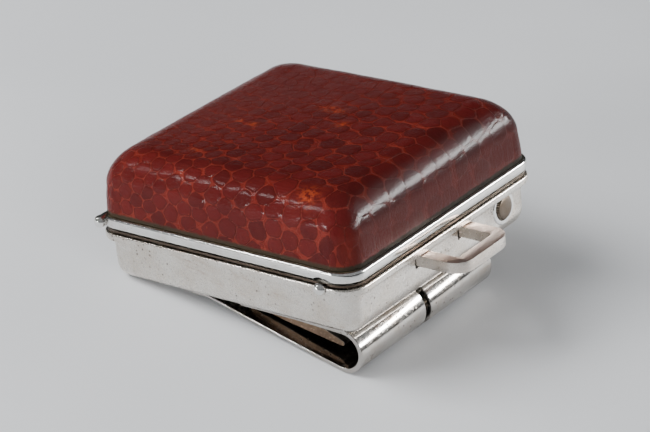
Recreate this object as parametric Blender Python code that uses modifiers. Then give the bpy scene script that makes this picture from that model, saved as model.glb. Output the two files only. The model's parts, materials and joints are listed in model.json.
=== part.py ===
"""Money clip with a hinged, leather-covered watch case.

A shallow nickel tray holds a small sealed watch under a glass. A domed lid, covered in
leather, closes over it on a barrel hinge and is opened with a thumb loop. Under the tray, a
spring clip is rolled from one strip: its lower leaf presses folded notes against the case.

Everything is modelled in the case's own frame: +X towards the thumb loop, +Y towards the
crown's corner, +Z out of the dial, zero at the middle of the tray's underside. The empty
case_frame then sets the case down as it lies on a table: on the clip's roll and on the
tray's far edge. Sizes are in metres.
"""

from math import asin, atan2, cos, pi, radians, sin

import bmesh
import bpy
from mathutils import Matrix, Vector

MM = 0.001

# Case
CASE_LENGTH = 45.0 * MM  # along X, over the flange
CASE_WIDTH = 44.0 * MM  # along Y, over the flange
CASE_CORNER = 3.6 * MM
TRAY_HEIGHT = 7.7 * MM
TRAY_WALL = 0.7 * MM
TRAY_FILLET = 2.1 * MM
FLANGE_STEP = 1.1 * MM  # how far the flange stands out from the tray's wall
FLANGE_HEIGHT = 1.15 * MM
PLATE_THICKNESS = 0.3 * MM
PLATE_INSET = 0.3 * MM
SEAT_GAP = 0.25 * MM  # between faces that touch on the real object
RUNNING_GAP = 0.1 * MM

# Lid
RIM_HEIGHT = 1.6 * MM
RIM_WIDTH = 3.5 * MM
RIM_CHAMFER = 0.2 * MM
LEATHER_INSET = 0.45 * MM
LEATHER_THICKNESS = 0.8 * MM
LID_WALL = 0.5 * MM
LINING_THICKNESS = 0.4 * MM
DOME_HEIGHT = 9.2 * MM  # from the rim to where the top edge's round ends
DOME_CROWN = 0.7 * MM  # how much the middle of the top stands above that
DOME_EDGE = 5.2 * MM
DOME_CORNER = 3.4 * MM
DOME_DRAFT = 0.3 * MM

# Lid hinge
BARREL_RADIUS = 0.85 * MM
HINGE_INSET = 1.2 * MM
HINGE_PIN_RADIUS = 0.4 * MM
PIN_HEAD_RADIUS = 0.9 * MM
PIN_HEAD_LENGTH = 0.8 * MM
KNUCKLES = 5
KNUCKLE_GAP = 0.15 * MM

# Thumb loop and catch
PIVOT_INSET = 5.3 * MM  # from the case's loop side to the catch pin
PIVOT_DROP = 0.2 * MM  # below the tray's top
CATCH_PIN_RADIUS = 0.35 * MM
EYE_RADIUS = 1.0 * MM
LOOP_REACH = 6.6 * MM
LOOP_WIDTH = 12.1 * MM
LOOP_BAR = 2.0 * MM
LOOP_THICKNESS = 1.6 * MM
LOOP_CORNER = 2.6 * MM
LOOP_OFFSET = -0.5 * MM
LOOP_SWING = 6.0  # degrees
BEAK_LENGTH = 6.0 * MM
BEAK_THICKNESS = 0.9 * MM
KEEPER_LENGTH = 3.0 * MM
KEEPER_THICKNESS = 1.1 * MM
SPRING_THICKNESS = 0.2 * MM
SPRING_WIDTH = 3.0 * MM

# Crown
CROWN_RADIUS = 1.7 * MM
CROWN_LENGTH = 1.1 * MM
CROWN_INSET = 7.4 * MM  # from the case's side to the crown's centre
CROWN_DROP = 3.05 * MM  # crown centre below the tray's top
CUP_WALL = 0.35 * MM
CUP_LIP = 0.35 * MM
STEM_RADIUS = 0.4 * MM
STEM_DEPTH = 3.65 * MM  # how far the stem reaches into the movement

# Watch
DIAL_X = -2.5 * MM
DIAL_MARGIN = 8.1 * MM  # from the case's side to the dial's edge
DIAL_THICKNESS = 0.3 * MM
MOVEMENT_MARGIN = 0.6 * MM  # round the dial, along X
MOVEMENT_INSET = 5.0 * MM  # from the case's side to the movement
MOVEMENT_HEIGHT = 4.3 * MM
MOVEMENT_LIFT = 0.6 * MM  # room under the movement for the rivets' heads
HOUR_HAND_INSET = 5.9 * MM  # from the dial's edge to the hand's tip
MINUTE_HAND_INSET = 1.9 * MM
HAND_THICKNESS = 0.18 * MM
HAND_SPACING = 0.45 * MM
HUB_RADIUS = 0.9 * MM
POST_RADIUS = 0.35 * MM
BEZEL_WALL = 1.1 * MM
BEZEL_LIP = 1.0 * MM
CRYSTAL_THICKNESS = 0.8 * MM

# Screws that hold the frame plate
SCREW_HEAD_RADIUS = 0.8 * MM
SCREW_RADIUS = 0.45 * MM
SCREW_LENGTH = 3.5 * MM
BOSS_RADIUS = 1.3 * MM
BOSS_INSET = 4.7 * MM
BOSS_FRONT_INSET = 8.5 * MM  # on the loop side, clear of the catch pin

# Clip
CLIP_WIDTH = 30.9 * MM
CLIP_Y = -2.75 * MM
CLIP_THICKNESS = 0.7 * MM
ROLL_RADIUS = 3.25 * MM
ROLL_INSET = 5.7 * MM  # from the case's loop side to the roll's axis
ROLL_DROP = 0.45 * MM  # from the tray's underside to the roll's top
LEAF_SLOPE = 14.9  # degrees to the tray's underside
LEAF_REST = 0.69 * MM  # below the tray where the slope ends, to the strip's middle
LEAF_TIP = 3.6 * MM  # from there the leaf lies along the tray's underside
SLOT_WIDTH = 1.2 * MM
SLOT_RUN = 5.0 * MM  # how far the slot runs on into the leaf
STRAP_LENGTH = 17.3 * MM  # from the roll's axis to the strip's fixed end
STRAP_BEND = 7.8 * MM  # from the roll's axis to where the strip lies flat
TONGUE_WIDTH = 26.0 * MM
TONGUE_WALL = 0.55 * MM
TONGUE_BEND = 9.2 * MM  # from the roll's axis to where the tongue leaves the tray
TONGUE_HEEL = 11.8 * MM  # from the roll's axis to the lower edge's corner
RIVET_INSET = 13.2 * MM  # from the roll's axis
RIVET_SPREAD = 14.0 * MM
RIVET_RADIUS = 0.6 * MM
RIVET_HEAD_RADIUS = 1.1 * MM
RIVET_HEAD_HEIGHT = 0.35 * MM

# Places that follow from the sizes
HALF_X = CASE_LENGTH / 2
HALF_Y = CASE_WIDTH / 2
WALL_X = HALF_X - FLANGE_STEP
WALL_Y = HALF_Y - FLANGE_STEP
PLATE_Z = TRAY_HEIGHT + SEAT_GAP
PLATE_TOP = PLATE_Z + PLATE_THICKNESS
RIM_Z = PLATE_TOP + SEAT_GAP
RIM_TOP = RIM_Z + RIM_HEIGHT
HINGE_X = -HALF_X + HINGE_INSET
HINGE_Z = RIM_TOP - BARREL_RADIUS + 0.05 * MM
DOME_Z = HINGE_Z + BARREL_RADIUS + RUNNING_GAP
BARREL_HALF = HALF_Y - 0.2 * MM
PIVOT_X = HALF_X - PIVOT_INSET
PIVOT_Z = TRAY_HEIGHT - PIVOT_DROP
LOOP_TOP = TRAY_HEIGHT - FLANGE_HEIGHT - 0.05 * MM
LOOP_BOTTOM = LOOP_TOP - LOOP_THICKNESS
CROWN_Z = TRAY_HEIGHT - CROWN_DROP
CROWN_FACE_X = WALL_X + 0.5 * MM
CROWN_Y = HALF_Y - CROWN_INSET
DIAL_RADIUS = HALF_Y - DIAL_MARGIN
HOUR_HAND = DIAL_RADIUS - HOUR_HAND_INSET
MINUTE_HAND = DIAL_RADIUS - MINUTE_HAND_INSET
MOVEMENT_LENGTH = 2 * (DIAL_RADIUS + MOVEMENT_MARGIN)
MOVEMENT_WIDTH = 2 * (HALF_Y - MOVEMENT_INSET)
MOVEMENT_Z = TRAY_WALL + MOVEMENT_LIFT
DIAL_Z = MOVEMENT_Z + MOVEMENT_HEIGHT + RUNNING_GAP
HOUR_Z = DIAL_Z + DIAL_THICKNESS + HAND_SPACING
MINUTE_Z = HOUR_Z + HAND_SPACING
CRYSTAL_Z = PLATE_Z - 0.15 * MM
CRYSTAL_RADIUS = DIAL_RADIUS - 0.8 * MM
BORE_RADIUS = CRYSTAL_RADIUS + RUNNING_GAP
BEZEL_RADIUS = BORE_RADIUS + BEZEL_WALL
ROLL_X = HALF_X - ROLL_INSET
ROLL_Z = -ROLL_DROP - ROLL_RADIUS
SLOPE = radians(LEAF_SLOPE)
FLEX_RADIUS = ROLL_RADIUS - CLIP_THICKNESS / 2
FLEX_X = ROLL_X - FLEX_RADIUS * sin(SLOPE)
FLEX_Z = ROLL_Z - FLEX_RADIUS * cos(SLOPE)
LEAF_LENGTH = (-FLEX_Z - LEAF_REST) / sin(SLOPE)
STRAP_END_X = ROLL_X - STRAP_LENGTH
STRAP_FLAT_X = ROLL_X - STRAP_BEND
RIVET_X = ROLL_X - RIVET_INSET
STRAP_Z = -RUNNING_GAP - CLIP_THICKNESS / 2
TONGUE_TOP = -2 * RUNNING_GAP - CLIP_THICKNESS
CORNER_STEPS = 5
ROUND_STEPS = 20


# Scene set-up


def clear_scene():
    for old in list(bpy.data.objects):
        bpy.data.objects.remove(old, do_unlink=True)


def new_collection(name):
    made = bpy.data.collections.new(name)
    bpy.context.scene.collection.children.link(made)
    return made


def new_empty(name, parent, location):
    empty = bpy.data.objects.new(name, None)
    empty.empty_display_size = 4 * MM
    PARTS.objects.link(empty)
    empty.parent = parent
    empty.location = location
    return empty


def new_material(name, color, metallic, roughness, transmission=0.0):
    made = bpy.data.materials.new(name)
    made.use_nodes = True
    shader = made.node_tree.nodes["Principled BSDF"]
    shader.inputs["Base Color"].default_value = (*color, 1.0)
    shader.inputs["Metallic"].default_value = metallic
    shader.inputs["Roughness"].default_value = roughness
    shader.inputs["Transmission Weight"].default_value = transmission
    return made


# Outlines, as lists of (a, b) points


def arc(center, radius, start, end, steps):
    """Points on an arc, from one angle in degrees to another."""
    turn = radians(end - start) / steps
    angles = [radians(start) + turn * i for i in range(steps + 1)]
    return [(center[0] + radius * cos(a), center[1] + radius * sin(a)) for a in angles]


def circle(center, radius, steps=ROUND_STEPS):
    return arc(center, radius, 0, 360, steps)[:-1]


def rounded_rectangle(half_a, half_b, radius, center=(0.0, 0.0), steps=CORNER_STEPS):
    points = []
    for sign_a, sign_b, start in ((1, 1, 0), (-1, 1, 90), (-1, -1, 180), (1, -1, 270)):
        corner = (
            center[0] + sign_a * (half_a - radius),
            center[1] + sign_b * (half_b - radius),
        )
        points += arc(corner, radius, start, start + 90, steps)
    return points


def strip_outline(line, thickness):
    """The closed outline of a strip bent along a line of points."""
    left, right = [], []
    for i, point in enumerate(line):
        before = Vector(line[max(i - 1, 0)])
        after = Vector(line[min(i + 1, len(line) - 1)])
        along = (after - before).normalized()
        across = Vector((-along.y, along.x)) * thickness / 2
        left.append(tuple(Vector(point) + across))
        right.append(tuple(Vector(point) - across))
    return left + right[::-1]


# Solids


def add_object(name, mesh, pivot, material=None):
    """Puts a mesh that is modelled in the case's frame on the empty of the body it moves with."""
    made = bpy.data.objects.new(name, mesh)
    made.parent = pivot
    made.location = -pivot.location if pivot is not case_frame else Vector()
    if material:
        PARTS.objects.link(made)
        mesh.materials.append(material)
        mesh.shade_smooth()
        mesh.set_sharp_from_angle(angle=radians(32))
    else:
        CUTTERS.objects.link(made)
        made.hide_render = True
        made.display_type = "WIRE"
    return made


def prism(name, outlines, low, high, pivot, material=None, plane="XY"):
    """A flat outline, its holes as further outlines, given thickness along Z, or along Y for plane XZ."""
    flat = bpy.data.curves.new(name, "CURVE")
    flat.dimensions = "2D"
    flat.fill_mode = "BOTH"
    flat.extrude = (high - low) / 2
    for outline in outlines:
        spline = flat.splines.new("POLY")
        spline.points.add(len(outline) - 1)
        for point, (a, b) in zip(spline.points, outline):
            point.co = (a, b, 0.0, 1.0)
        spline.use_cyclic_u = True
    holder = bpy.data.objects.new(name, flat)
    bpy.context.scene.collection.objects.link(holder)
    graph = bpy.context.evaluated_depsgraph_get()
    mesh = bpy.data.meshes.new_from_object(holder.evaluated_get(graph))
    bpy.data.objects.remove(holder)
    bpy.data.curves.remove(flat)
    mesh.materials.clear()
    if plane == "XZ":
        mesh.transform(Matrix.Rotation(pi / 2, 4, "X"))
        mesh.transform(Matrix.Translation((0.0, (low + high) / 2, 0.0)))
    else:
        mesh.transform(Matrix.Translation((0.0, 0.0, (low + high) / 2)))
    shape = bmesh.new()
    shape.from_mesh(mesh)
    bmesh.ops.remove_doubles(shape, verts=shape.verts, dist=1e-7)
    bmesh.ops.recalc_face_normals(shape, faces=shape.faces)
    shape.to_mesh(mesh)
    shape.free()
    mesh.name = name
    return add_object(name, mesh, pivot, material)


def box(name, low, high, pivot, material=None):
    mesh = bpy.data.meshes.new(name)
    shape = bmesh.new()
    low, high = Vector(low), Vector(high)
    bmesh.ops.create_cube(shape, size=1.0)
    bmesh.ops.scale(shape, vec=high - low, verts=shape.verts)
    bmesh.ops.translate(shape, vec=(low + high) / 2, verts=shape.verts)
    shape.to_mesh(mesh)
    shape.free()
    return add_object(name, mesh, pivot, material)


def rod(name, radius, low, high, axis, pivot, material=None):
    """A plain cylinder between two values along X, Y or Z, given as low and high points."""
    low, high = Vector(low), Vector(high)
    turn = {"X": Matrix.Rotation(pi / 2, 4, "Y"), "Y": Matrix.Rotation(pi / 2, 4, "X"), "Z": Matrix()}
    mesh = bpy.data.meshes.new(name)
    shape = bmesh.new()
    bmesh.ops.create_cone(
        shape,
        cap_ends=True,
        segments=ROUND_STEPS,
        radius1=radius,
        radius2=radius,
        depth=(high - low).length,
        matrix=Matrix.Translation((low + high) / 2) @ turn[axis],
    )
    shape.to_mesh(mesh)
    shape.free()
    return add_object(name, mesh, pivot, material)


def turned(name, profile, place, axis, pivot, material=None, closed=False, steps=ROUND_STEPS):
    """A turned piece: (radius, height) points down its outer side, with its axis along X, Y or Z at place."""
    mesh = bpy.data.meshes.new(name)
    edges = [(i, i + 1) for i in range(len(profile) - 1)]
    if closed:
        edges.append((len(profile) - 1, 0))
    mesh.from_pydata([(radius, 0.0, height) for radius, height in profile], edges, [])
    made = add_object(name, mesh, pivot, material)
    screw = made.modifiers.new("turn", "SCREW")
    screw.steps = steps
    screw.render_steps = steps
    screw.use_merge_vertices = True
    screw.merge_threshold = 1e-7
    screw.use_smooth_shade = True
    made.location += Vector(place)
    made.rotation_euler = {"X": (0, pi / 2, 0), "Y": (-pi / 2, 0, 0), "Z": (0, 0, 0)}[axis]
    return made


def loft(name, rings, pivot, material=None):
    """A closed skin through rings of (half length, half width, corner radius, height), with end caps."""
    shape = bmesh.new()
    loops = []
    for half_a, half_b, radius, height in rings:
        outline = rounded_rectangle(half_a, half_b, radius)
        loops.append([shape.verts.new((a, b, height)) for a, b in outline])
    for lower, upper in zip(loops, loops[1:]):
        for i in range(len(lower)):
            j = (i + 1) % len(lower)
            shape.faces.new((lower[i], lower[j], upper[j], upper[i]))
    shape.faces.new(loops[0])
    shape.faces.new(loops[-1])
    bmesh.ops.recalc_face_normals(shape, faces=shape.faces)
    mesh = bpy.data.meshes.new(name)
    shape.to_mesh(mesh)
    shape.free()
    return add_object(name, mesh, pivot, material)


def cut(target, *cutters, operation="DIFFERENCE"):
    for cutter in cutters:
        boolean = target.modifiers.new(cutter.name, "BOOLEAN")
        boolean.operation = operation
        boolean.solver = "EXACT"
        boolean.object = cutter


# Tray, frame plate and screws


def tray_ring(inset, height):
    corner = max(CASE_CORNER - inset, 0.5 * MM)
    return HALF_X - inset, HALF_Y - inset, corner, height


def make_tray():
    """A pressed pan with a rounded bottom edge and a flange round its top, as one folded skin."""
    inner = FLANGE_STEP + TRAY_WALL
    inner_fillet = TRAY_FILLET - TRAY_WALL
    rings = []
    for inset, height in arc((TRAY_FILLET, TRAY_FILLET), TRAY_FILLET, 270, 180, 5):
        rings.append(tray_ring(FLANGE_STEP + inset, height))
    flange_z = TRAY_HEIGHT - FLANGE_HEIGHT
    rings += [
        tray_ring(FLANGE_STEP, flange_z),
        tray_ring(0.12 * MM, flange_z),
        tray_ring(0.0, flange_z + 0.12 * MM),
        tray_ring(0.0, TRAY_HEIGHT - 0.15 * MM),
        tray_ring(0.15 * MM, TRAY_HEIGHT),
        tray_ring(inner, TRAY_HEIGHT),
    ]
    for inset, height in arc((inner_fillet, inner_fillet), inner_fillet, 180, 270, 4):
        rings.append(tray_ring(inner + inset, height + TRAY_WALL))
    return loft("case_tray", rings, case_frame, nickel)


def boss_places():
    """Where the frame plate is screwed down: one place near each corner of the tray."""
    places = []
    for x in (-HALF_X + BOSS_INSET, HALF_X - BOSS_FRONT_INSET):
        for y in (-HALF_Y + BOSS_INSET - 1.0 * MM, HALF_Y - BOSS_INSET + 1.0 * MM):
            places.append((x, y))
    return places


def arm_centers():
    reach = (LOOP_WIDTH - LOOP_BAR) / 2
    return LOOP_OFFSET - reach, LOOP_OFFSET + reach


def add_tray_details(tray):
    """Bosses for the screws, slots for the loop's arms, and holes for crown, catch pin and rivets."""
    for i, (x, y) in enumerate(boss_places(), 1):
        low = (x, y, TRAY_WALL - 0.3 * MM)
        boss = rod(f"boss_{i}", BOSS_RADIUS, low, (x, y, TRAY_HEIGHT), "Z", case_frame)
        hole_low = (x, y, TRAY_HEIGHT - SCREW_LENGTH - 0.3 * MM)
        hole_high = (x, y, TRAY_HEIGHT + MM)
        hole = rod(f"boss_hole_{i}", SCREW_RADIUS + RUNNING_GAP, hole_low, hole_high, "Z", case_frame)
        cut(tray, boss, operation="UNION")
        cut(tray, hole)
    drop = (WALL_X - PIVOT_X) * sin(radians(LOOP_SWING)) + 0.2 * MM
    for i, y in enumerate(arm_centers(), 1):
        half = LOOP_BAR / 2 + 2 * RUNNING_GAP
        low = (WALL_X - TRAY_WALL - 0.4 * MM, y - half, LOOP_BOTTOM - drop)
        high = (WALL_X + 0.4 * MM, y + half, LOOP_TOP + 0.2 * MM)
        cut(tray, box(f"arm_slot_{i}", low, high, case_frame))
    crown_hole = rod(
        "crown_hole",
        cup_radius() + RUNNING_GAP,
        (WALL_X - TRAY_WALL - 0.6 * MM, CROWN_Y, CROWN_Z),
        (WALL_X + 0.02 * MM, CROWN_Y, CROWN_Z),
        "X",
        case_frame,
    )
    pin_hole = rod(
        "catch_pin_hole",
        CATCH_PIN_RADIUS + RUNNING_GAP,
        (PIVOT_X, -HALF_Y - MM, PIVOT_Z),
        (PIVOT_X, HALF_Y + MM, PIVOT_Z),
        "Y",
        case_frame,
    )
    cut(tray, crown_hole, pin_hole)
    for side in (-1, 1):
        low = (PIVOT_X, side * HALF_Y - 0.9 * MM, TRAY_HEIGHT - 0.4 * MM)
        high = (PIVOT_X + 2.6 * MM, side * HALF_Y + 0.9 * MM, TRAY_HEIGHT + MM)
        cut(tray, box(f"flange_notch_{side + 2}", low, high, case_frame))
    cut(tray, *rivet_holes("tray"))


def make_frame_plate():
    """The thin plate between tray and lid: it holds the glass's bezel and the case's hinge knuckles."""
    outline = rounded_rectangle(HALF_X - PLATE_INSET, HALF_Y - PLATE_INSET, CASE_CORNER - PLATE_INSET)
    bezel_hole = circle((DIAL_X, 0.0), BEZEL_RADIUS + RUNNING_GAP, 2 * ROUND_STEPS)
    catch_half = LOOP_WIDTH / 2 + 1.2 * MM
    catch_low, catch_high = PIVOT_X - 2.4 * MM, WALL_X - TRAY_WALL - RUNNING_GAP
    center = ((catch_low + catch_high) / 2, LOOP_OFFSET)
    catch_hole = rounded_rectangle((catch_high - catch_low) / 2, catch_half, 0.8 * MM, center, 3)
    screw_holes = [circle(place, SCREW_HEAD_RADIUS + RUNNING_GAP, 16) for place in boss_places()]
    outlines = [outline, bezel_hole, catch_hole, *screw_holes]
    return prism("frame_plate", outlines, PLATE_Z, PLATE_TOP, case_frame, steel)


def make_frame_screws():
    for i, (x, y) in enumerate(boss_places(), 1):
        head, shank = SCREW_HEAD_RADIUS, SCREW_RADIUS
        top = PLATE_TOP
        under = TRAY_HEIGHT + RUNNING_GAP
        profile = [
            (0.0, top),
            (head - 0.1 * MM, top),
            (head, top - 0.08 * MM),
            (head, under),
            (shank, under),
            (shank, TRAY_HEIGHT - SCREW_LENGTH),
            (0.0, TRAY_HEIGHT - SCREW_LENGTH),
        ]
        turned(f"frame_screw_{i}", profile, (x, y, 0.0), "Z", case_frame, steel, steps=16)


# Watch


def make_movement():
    """The movement as one sealed unit, with a bore for the winding stem."""
    outline = rounded_rectangle(MOVEMENT_LENGTH / 2, MOVEMENT_WIDTH / 2, 4 * MM, (DIAL_X, 0.0))
    top = MOVEMENT_Z + MOVEMENT_HEIGHT
    movement = prism("movement", [outline], MOVEMENT_Z, top, case_frame, brass)
    end_x = DIAL_X + MOVEMENT_LENGTH / 2
    bore = rod(
        "stem_bore",
        STEM_RADIUS + RUNNING_GAP,
        (stem_end_x() - 0.3 * MM, CROWN_Y, CROWN_Z),
        (end_x + MM, CROWN_Y, CROWN_Z),
        "X",
        case_frame,
    )
    cut(movement, bore)
    post_hole = circle((DIAL_X, 0.0), POST_RADIUS + RUNNING_GAP, 16)
    dial_outline = circle((DIAL_X, 0.0), DIAL_RADIUS, 2 * ROUND_STEPS)
    prism("dial", [dial_outline, post_hole], DIAL_Z, DIAL_Z + DIAL_THICKNESS, case_frame, silver)
    low = (DIAL_X, 0.0, top + 0.02 * MM)
    high = (DIAL_X, 0.0, MINUTE_Z + HAND_THICKNESS + 0.1 * MM)
    rod("hand_post", POST_RADIUS, low, high, "Z", case_frame, steel)


def make_hand(name, length, height, pivot, angle):
    """A tapered hand with a round hub, pointing at the given angle on the dial."""
    root, tip = 0.55 * MM, 0.12 * MM
    side = [(length, tip), (length, -tip), (HUB_RADIUS * 0.8, -root / 1.2)]
    spread = 27
    outline = side + arc((0.0, 0.0), HUB_RADIUS, -spread, -360 + spread, 16)[1:-1]
    outline.append((HUB_RADIUS * 0.8, root / 1.2))
    turn = radians(angle)
    placed = [(DIAL_X + a * cos(turn) - b * sin(turn), a * sin(turn) + b * cos(turn)) for a, b in outline]
    hole = circle((DIAL_X, 0.0), POST_RADIUS + 0.05 * MM, 16)
    prism(name, [placed, hole], height, height + HAND_THICKNESS, pivot, blued)


def make_glass():
    """The bezel drops into the frame plate and rests on it by its lip; the glass sits inside."""
    floor = DIAL_Z + DIAL_THICKNESS + RUNNING_GAP
    lip_z = PLATE_TOP + RUNNING_GAP
    bore = BORE_RADIUS
    profile = [
        (bore, lip_z + 0.55 * MM),
        (bore + 0.5 * MM, lip_z + 0.55 * MM),
        (BEZEL_RADIUS + BEZEL_LIP, lip_z + 0.15 * MM),
        (BEZEL_RADIUS + BEZEL_LIP, lip_z),
        (BEZEL_RADIUS, lip_z),
        (BEZEL_RADIUS, floor),
        (bore - 0.5 * MM, floor),
        (bore - 0.5 * MM, CRYSTAL_Z - RUNNING_GAP),
        (bore, CRYSTAL_Z - RUNNING_GAP),
    ]
    turned("crystal_bezel", profile, (DIAL_X, 0, 0), "Z", case_frame, chrome, True, 2 * ROUND_STEPS)
    dome = [(CRYSTAL_RADIUS * sin(radians(a)), 0.35 * MM * cos(radians(a))) for a in (0, 25, 50, 75, 90)]
    top = CRYSTAL_Z + CRYSTAL_THICKNESS
    profile = [(radius, top + rise) for radius, rise in dome]
    profile += [(CRYSTAL_RADIUS, CRYSTAL_Z), (0.0, CRYSTAL_Z)]
    turned("crystal", profile, (DIAL_X, 0, 0), "Z", case_frame, glass, False, 2 * ROUND_STEPS)


# Crown


def cup_radius():
    return CROWN_RADIUS + 2 * RUNNING_GAP + CUP_WALL


def stem_end_x():
    return DIAL_X + MOVEMENT_LENGTH / 2 - STEM_DEPTH


def make_crown():
    """The crown sits in a cup in the tray's wall, on a stem that runs to the movement."""
    back_x = CROWN_FACE_X - CROWN_LENGTH
    floor_x = back_x - RUNNING_GAP
    bore = CROWN_RADIUS + 2 * RUNNING_GAP
    cup = [
        (bore, CROWN_FACE_X),
        (bore + CUP_WALL + CUP_LIP - 0.1 * MM, CROWN_FACE_X),
        (bore + CUP_WALL + CUP_LIP, CROWN_FACE_X - 0.1 * MM),
        (bore + CUP_WALL + CUP_LIP, WALL_X + RUNNING_GAP),
        (bore + CUP_WALL, WALL_X + RUNNING_GAP),
        (bore + CUP_WALL, floor_x - 0.4 * MM),
        (STEM_RADIUS + RUNNING_GAP, floor_x - 0.4 * MM),
        (STEM_RADIUS + RUNNING_GAP, floor_x),
        (bore, floor_x),
    ]
    place = (0.0, CROWN_Y, CROWN_Z)
    made = turned("crown_cup", cup, place, "X", case_frame, chrome, closed=True)
    flange_z = TRAY_HEIGHT - FLANGE_HEIGHT
    low = (WALL_X - 0.05 * MM, CROWN_Y - 4 * MM, flange_z - RUNNING_GAP)
    high = (HALF_X + MM, CROWN_Y + 4 * MM, flange_z + 3 * MM)
    cut(made, box("cup_top_cut", low, high, case_frame))
    crown = [
        (0.0, CROWN_FACE_X),
        (CROWN_RADIUS - 0.2 * MM, CROWN_FACE_X),
        (CROWN_RADIUS, CROWN_FACE_X - 0.15 * MM),
        (CROWN_RADIUS, back_x + 0.05 * MM),
        (CROWN_RADIUS - 0.1 * MM, back_x),
        (0.0, back_x),
    ]
    turned("crown", crown, place, "X", crown_pivot, nickel)
    low = (stem_end_x(), CROWN_Y, CROWN_Z)
    high = (back_x - 0.05 * MM, CROWN_Y, CROWN_Z)
    rod("winding_stem", STEM_RADIUS, low, high, "X", stem_pivot, steel)


# Lid


def dome_rings(offset, low):
    """Rings up the lid's dome, at an offset inside its outer skin, from a given height."""
    half_x, half_y = HALF_X - LEATHER_INSET - offset, HALF_Y - LEATHER_INSET - offset
    edge, corner = DOME_EDGE - offset, DOME_CORNER - offset
    edge_top = DOME_Z + DOME_HEIGHT - offset
    side_top = edge_top - edge
    rings = [(half_x, half_y, corner, low)]
    for inset, height in arc((edge, side_top), edge, 180, 90, 5):
        inset += DOME_DRAFT
        rings.append((half_x - inset, half_y - inset, max(corner - 0.15 * inset, MM), height))
    start, radius = edge + DOME_DRAFT, max(corner - 0.15 * (edge + DOME_DRAFT), MM)
    for part in (0.25, 0.55, 0.85):
        inset = start + (half_y - start) * part
        rise = DOME_CROWN * (1 - (1 - part) ** 2)
        rings.append((half_x - inset, half_y - inset, min(radius, (half_y - inset) / 2), edge_top + rise))
    return rings


def shell(name, outer_offset, thickness, low, material):
    """An open-bottomed dome of even thickness: down its inside, across its edge and up its outside."""
    inside = dome_rings(outer_offset + thickness, low)
    outside = dome_rings(outer_offset, low)
    return loft(name, inside[::-1] + outside, lid_pivot, material)


def make_lid():
    leather_z = DOME_Z
    shell("lid_leather", 0.0, LEATHER_THICKNESS, leather_z, leather)
    metal_offset = LEATHER_THICKNESS + RUNNING_GAP
    shell("lid_shell", metal_offset, LID_WALL, leather_z, nickel)
    lining_offset = metal_offset + LID_WALL + RUNNING_GAP
    shell("lid_lining", lining_offset, LINING_THICKNESS, leather_z + 0.3 * MM, lining)
    make_rim()
    make_keeper()


def make_rim():
    """The chrome frame round the lid's foot, cut back at the hinge and arched over the catch pin's ends."""
    inner_x, inner_y = HALF_X - RIM_WIDTH, HALF_Y - RIM_WIDTH
    inner_corner = 2.0 * MM
    c = RIM_CHAMFER
    rings = [
        (inner_x, inner_y, inner_corner, RIM_Z),
        (HALF_X - c, HALF_Y - c, CASE_CORNER - c, RIM_Z),
        (HALF_X, HALF_Y, CASE_CORNER, RIM_Z + c),
        (HALF_X, HALF_Y, CASE_CORNER, RIM_TOP - c),
        (HALF_X - c, HALF_Y - c, CASE_CORNER - c, RIM_TOP),
        (inner_x, inner_y, inner_corner, RIM_TOP),
    ]
    rim = loft("lid_rim", rings, lid_pivot, chrome)
    opening = prism(
        "rim_opening",
        [rounded_rectangle(inner_x, inner_y, inner_corner)],
        RIM_Z - MM,
        RIM_TOP + MM,
        lid_pivot,
    )
    cut(rim, opening)
    cut_x = HINGE_X + BARREL_RADIUS + RUNNING_GAP
    low = (-HALF_X - MM, -HALF_Y - MM, RIM_Z - MM)
    high = (cut_x, HALF_Y + MM, RIM_TOP + MM)
    cut(rim, box("rim_hinge_cut", low, high, lid_pivot))
    for side in (-1, 1):
        low = (PIVOT_X, side * HALF_Y - MM, PIVOT_Z)
        high = (PIVOT_X, side * HALF_Y + MM, PIVOT_Z)
        radius = PIN_HEAD_RADIUS + 0.5 * MM
        cut(rim, rod(f"rim_arch_{side + 2}", radius, low, high, "Y", lid_pivot))


def make_keeper():
    """The lug under the rim that the catch's beak holds."""
    x = HALF_X - RIM_WIDTH + 0.05 * MM
    low = (x, LOOP_OFFSET - KEEPER_LENGTH / 2, RIM_Z - 1.4 * MM)
    high = (x + KEEPER_THICKNESS, LOOP_OFFSET + KEEPER_LENGTH / 2, RIM_Z - 0.05 * MM)
    box("lid_keeper", low, high, lid_pivot, steel)


# Lid hinge


def knuckle_outline(on_lid):
    """The end view of a knuckle: a round eye with a short web to the rim, or down to the frame plate."""
    center = (HINGE_X, HINGE_Z)
    half = 0.5 * MM
    half_angle = asin(half / BARREL_RADIUS) * 180 / pi
    if on_lid:
        end = HINGE_X + BARREL_RADIUS + 0.05 * MM
        web = [(end, HINGE_Z - half), (end, HINGE_Z + half)]
        return web + arc(center, BARREL_RADIUS, half_angle, 360 - half_angle, 20)
    end = PLATE_TOP + 0.05 * MM
    web = [(HINGE_X - half, end), (HINGE_X + half, end)]
    return web + arc(center, BARREL_RADIUS, -90 + half_angle, 270 - half_angle, 20)


def make_hinge():
    """Knuckles turn about alternately on the lid and the case, round one pin with domed ends."""
    length = (2 * BARREL_HALF - (KNUCKLES - 1) * KNUCKLE_GAP) / KNUCKLES
    for i in range(KNUCKLES):
        on_lid = i % 2 == 0
        low = -BARREL_HALF + i * (length + KNUCKLE_GAP)
        name = f"lid_knuckle_{i // 2 + 1}" if on_lid else f"case_knuckle_{i // 2 + 1}"
        outlines = [knuckle_outline(on_lid), circle((HINGE_X, HINGE_Z), HINGE_PIN_RADIUS + 0.05 * MM, 16)]
        pivot = lid_pivot if on_lid else case_frame
        prism(name, outlines, low, low + length, pivot, chrome, "XZ")
    make_pin("hinge_pin", HINGE_PIN_RADIUS, BARREL_HALF + RUNNING_GAP, (HINGE_X, 0.0, HINGE_Z))


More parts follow.
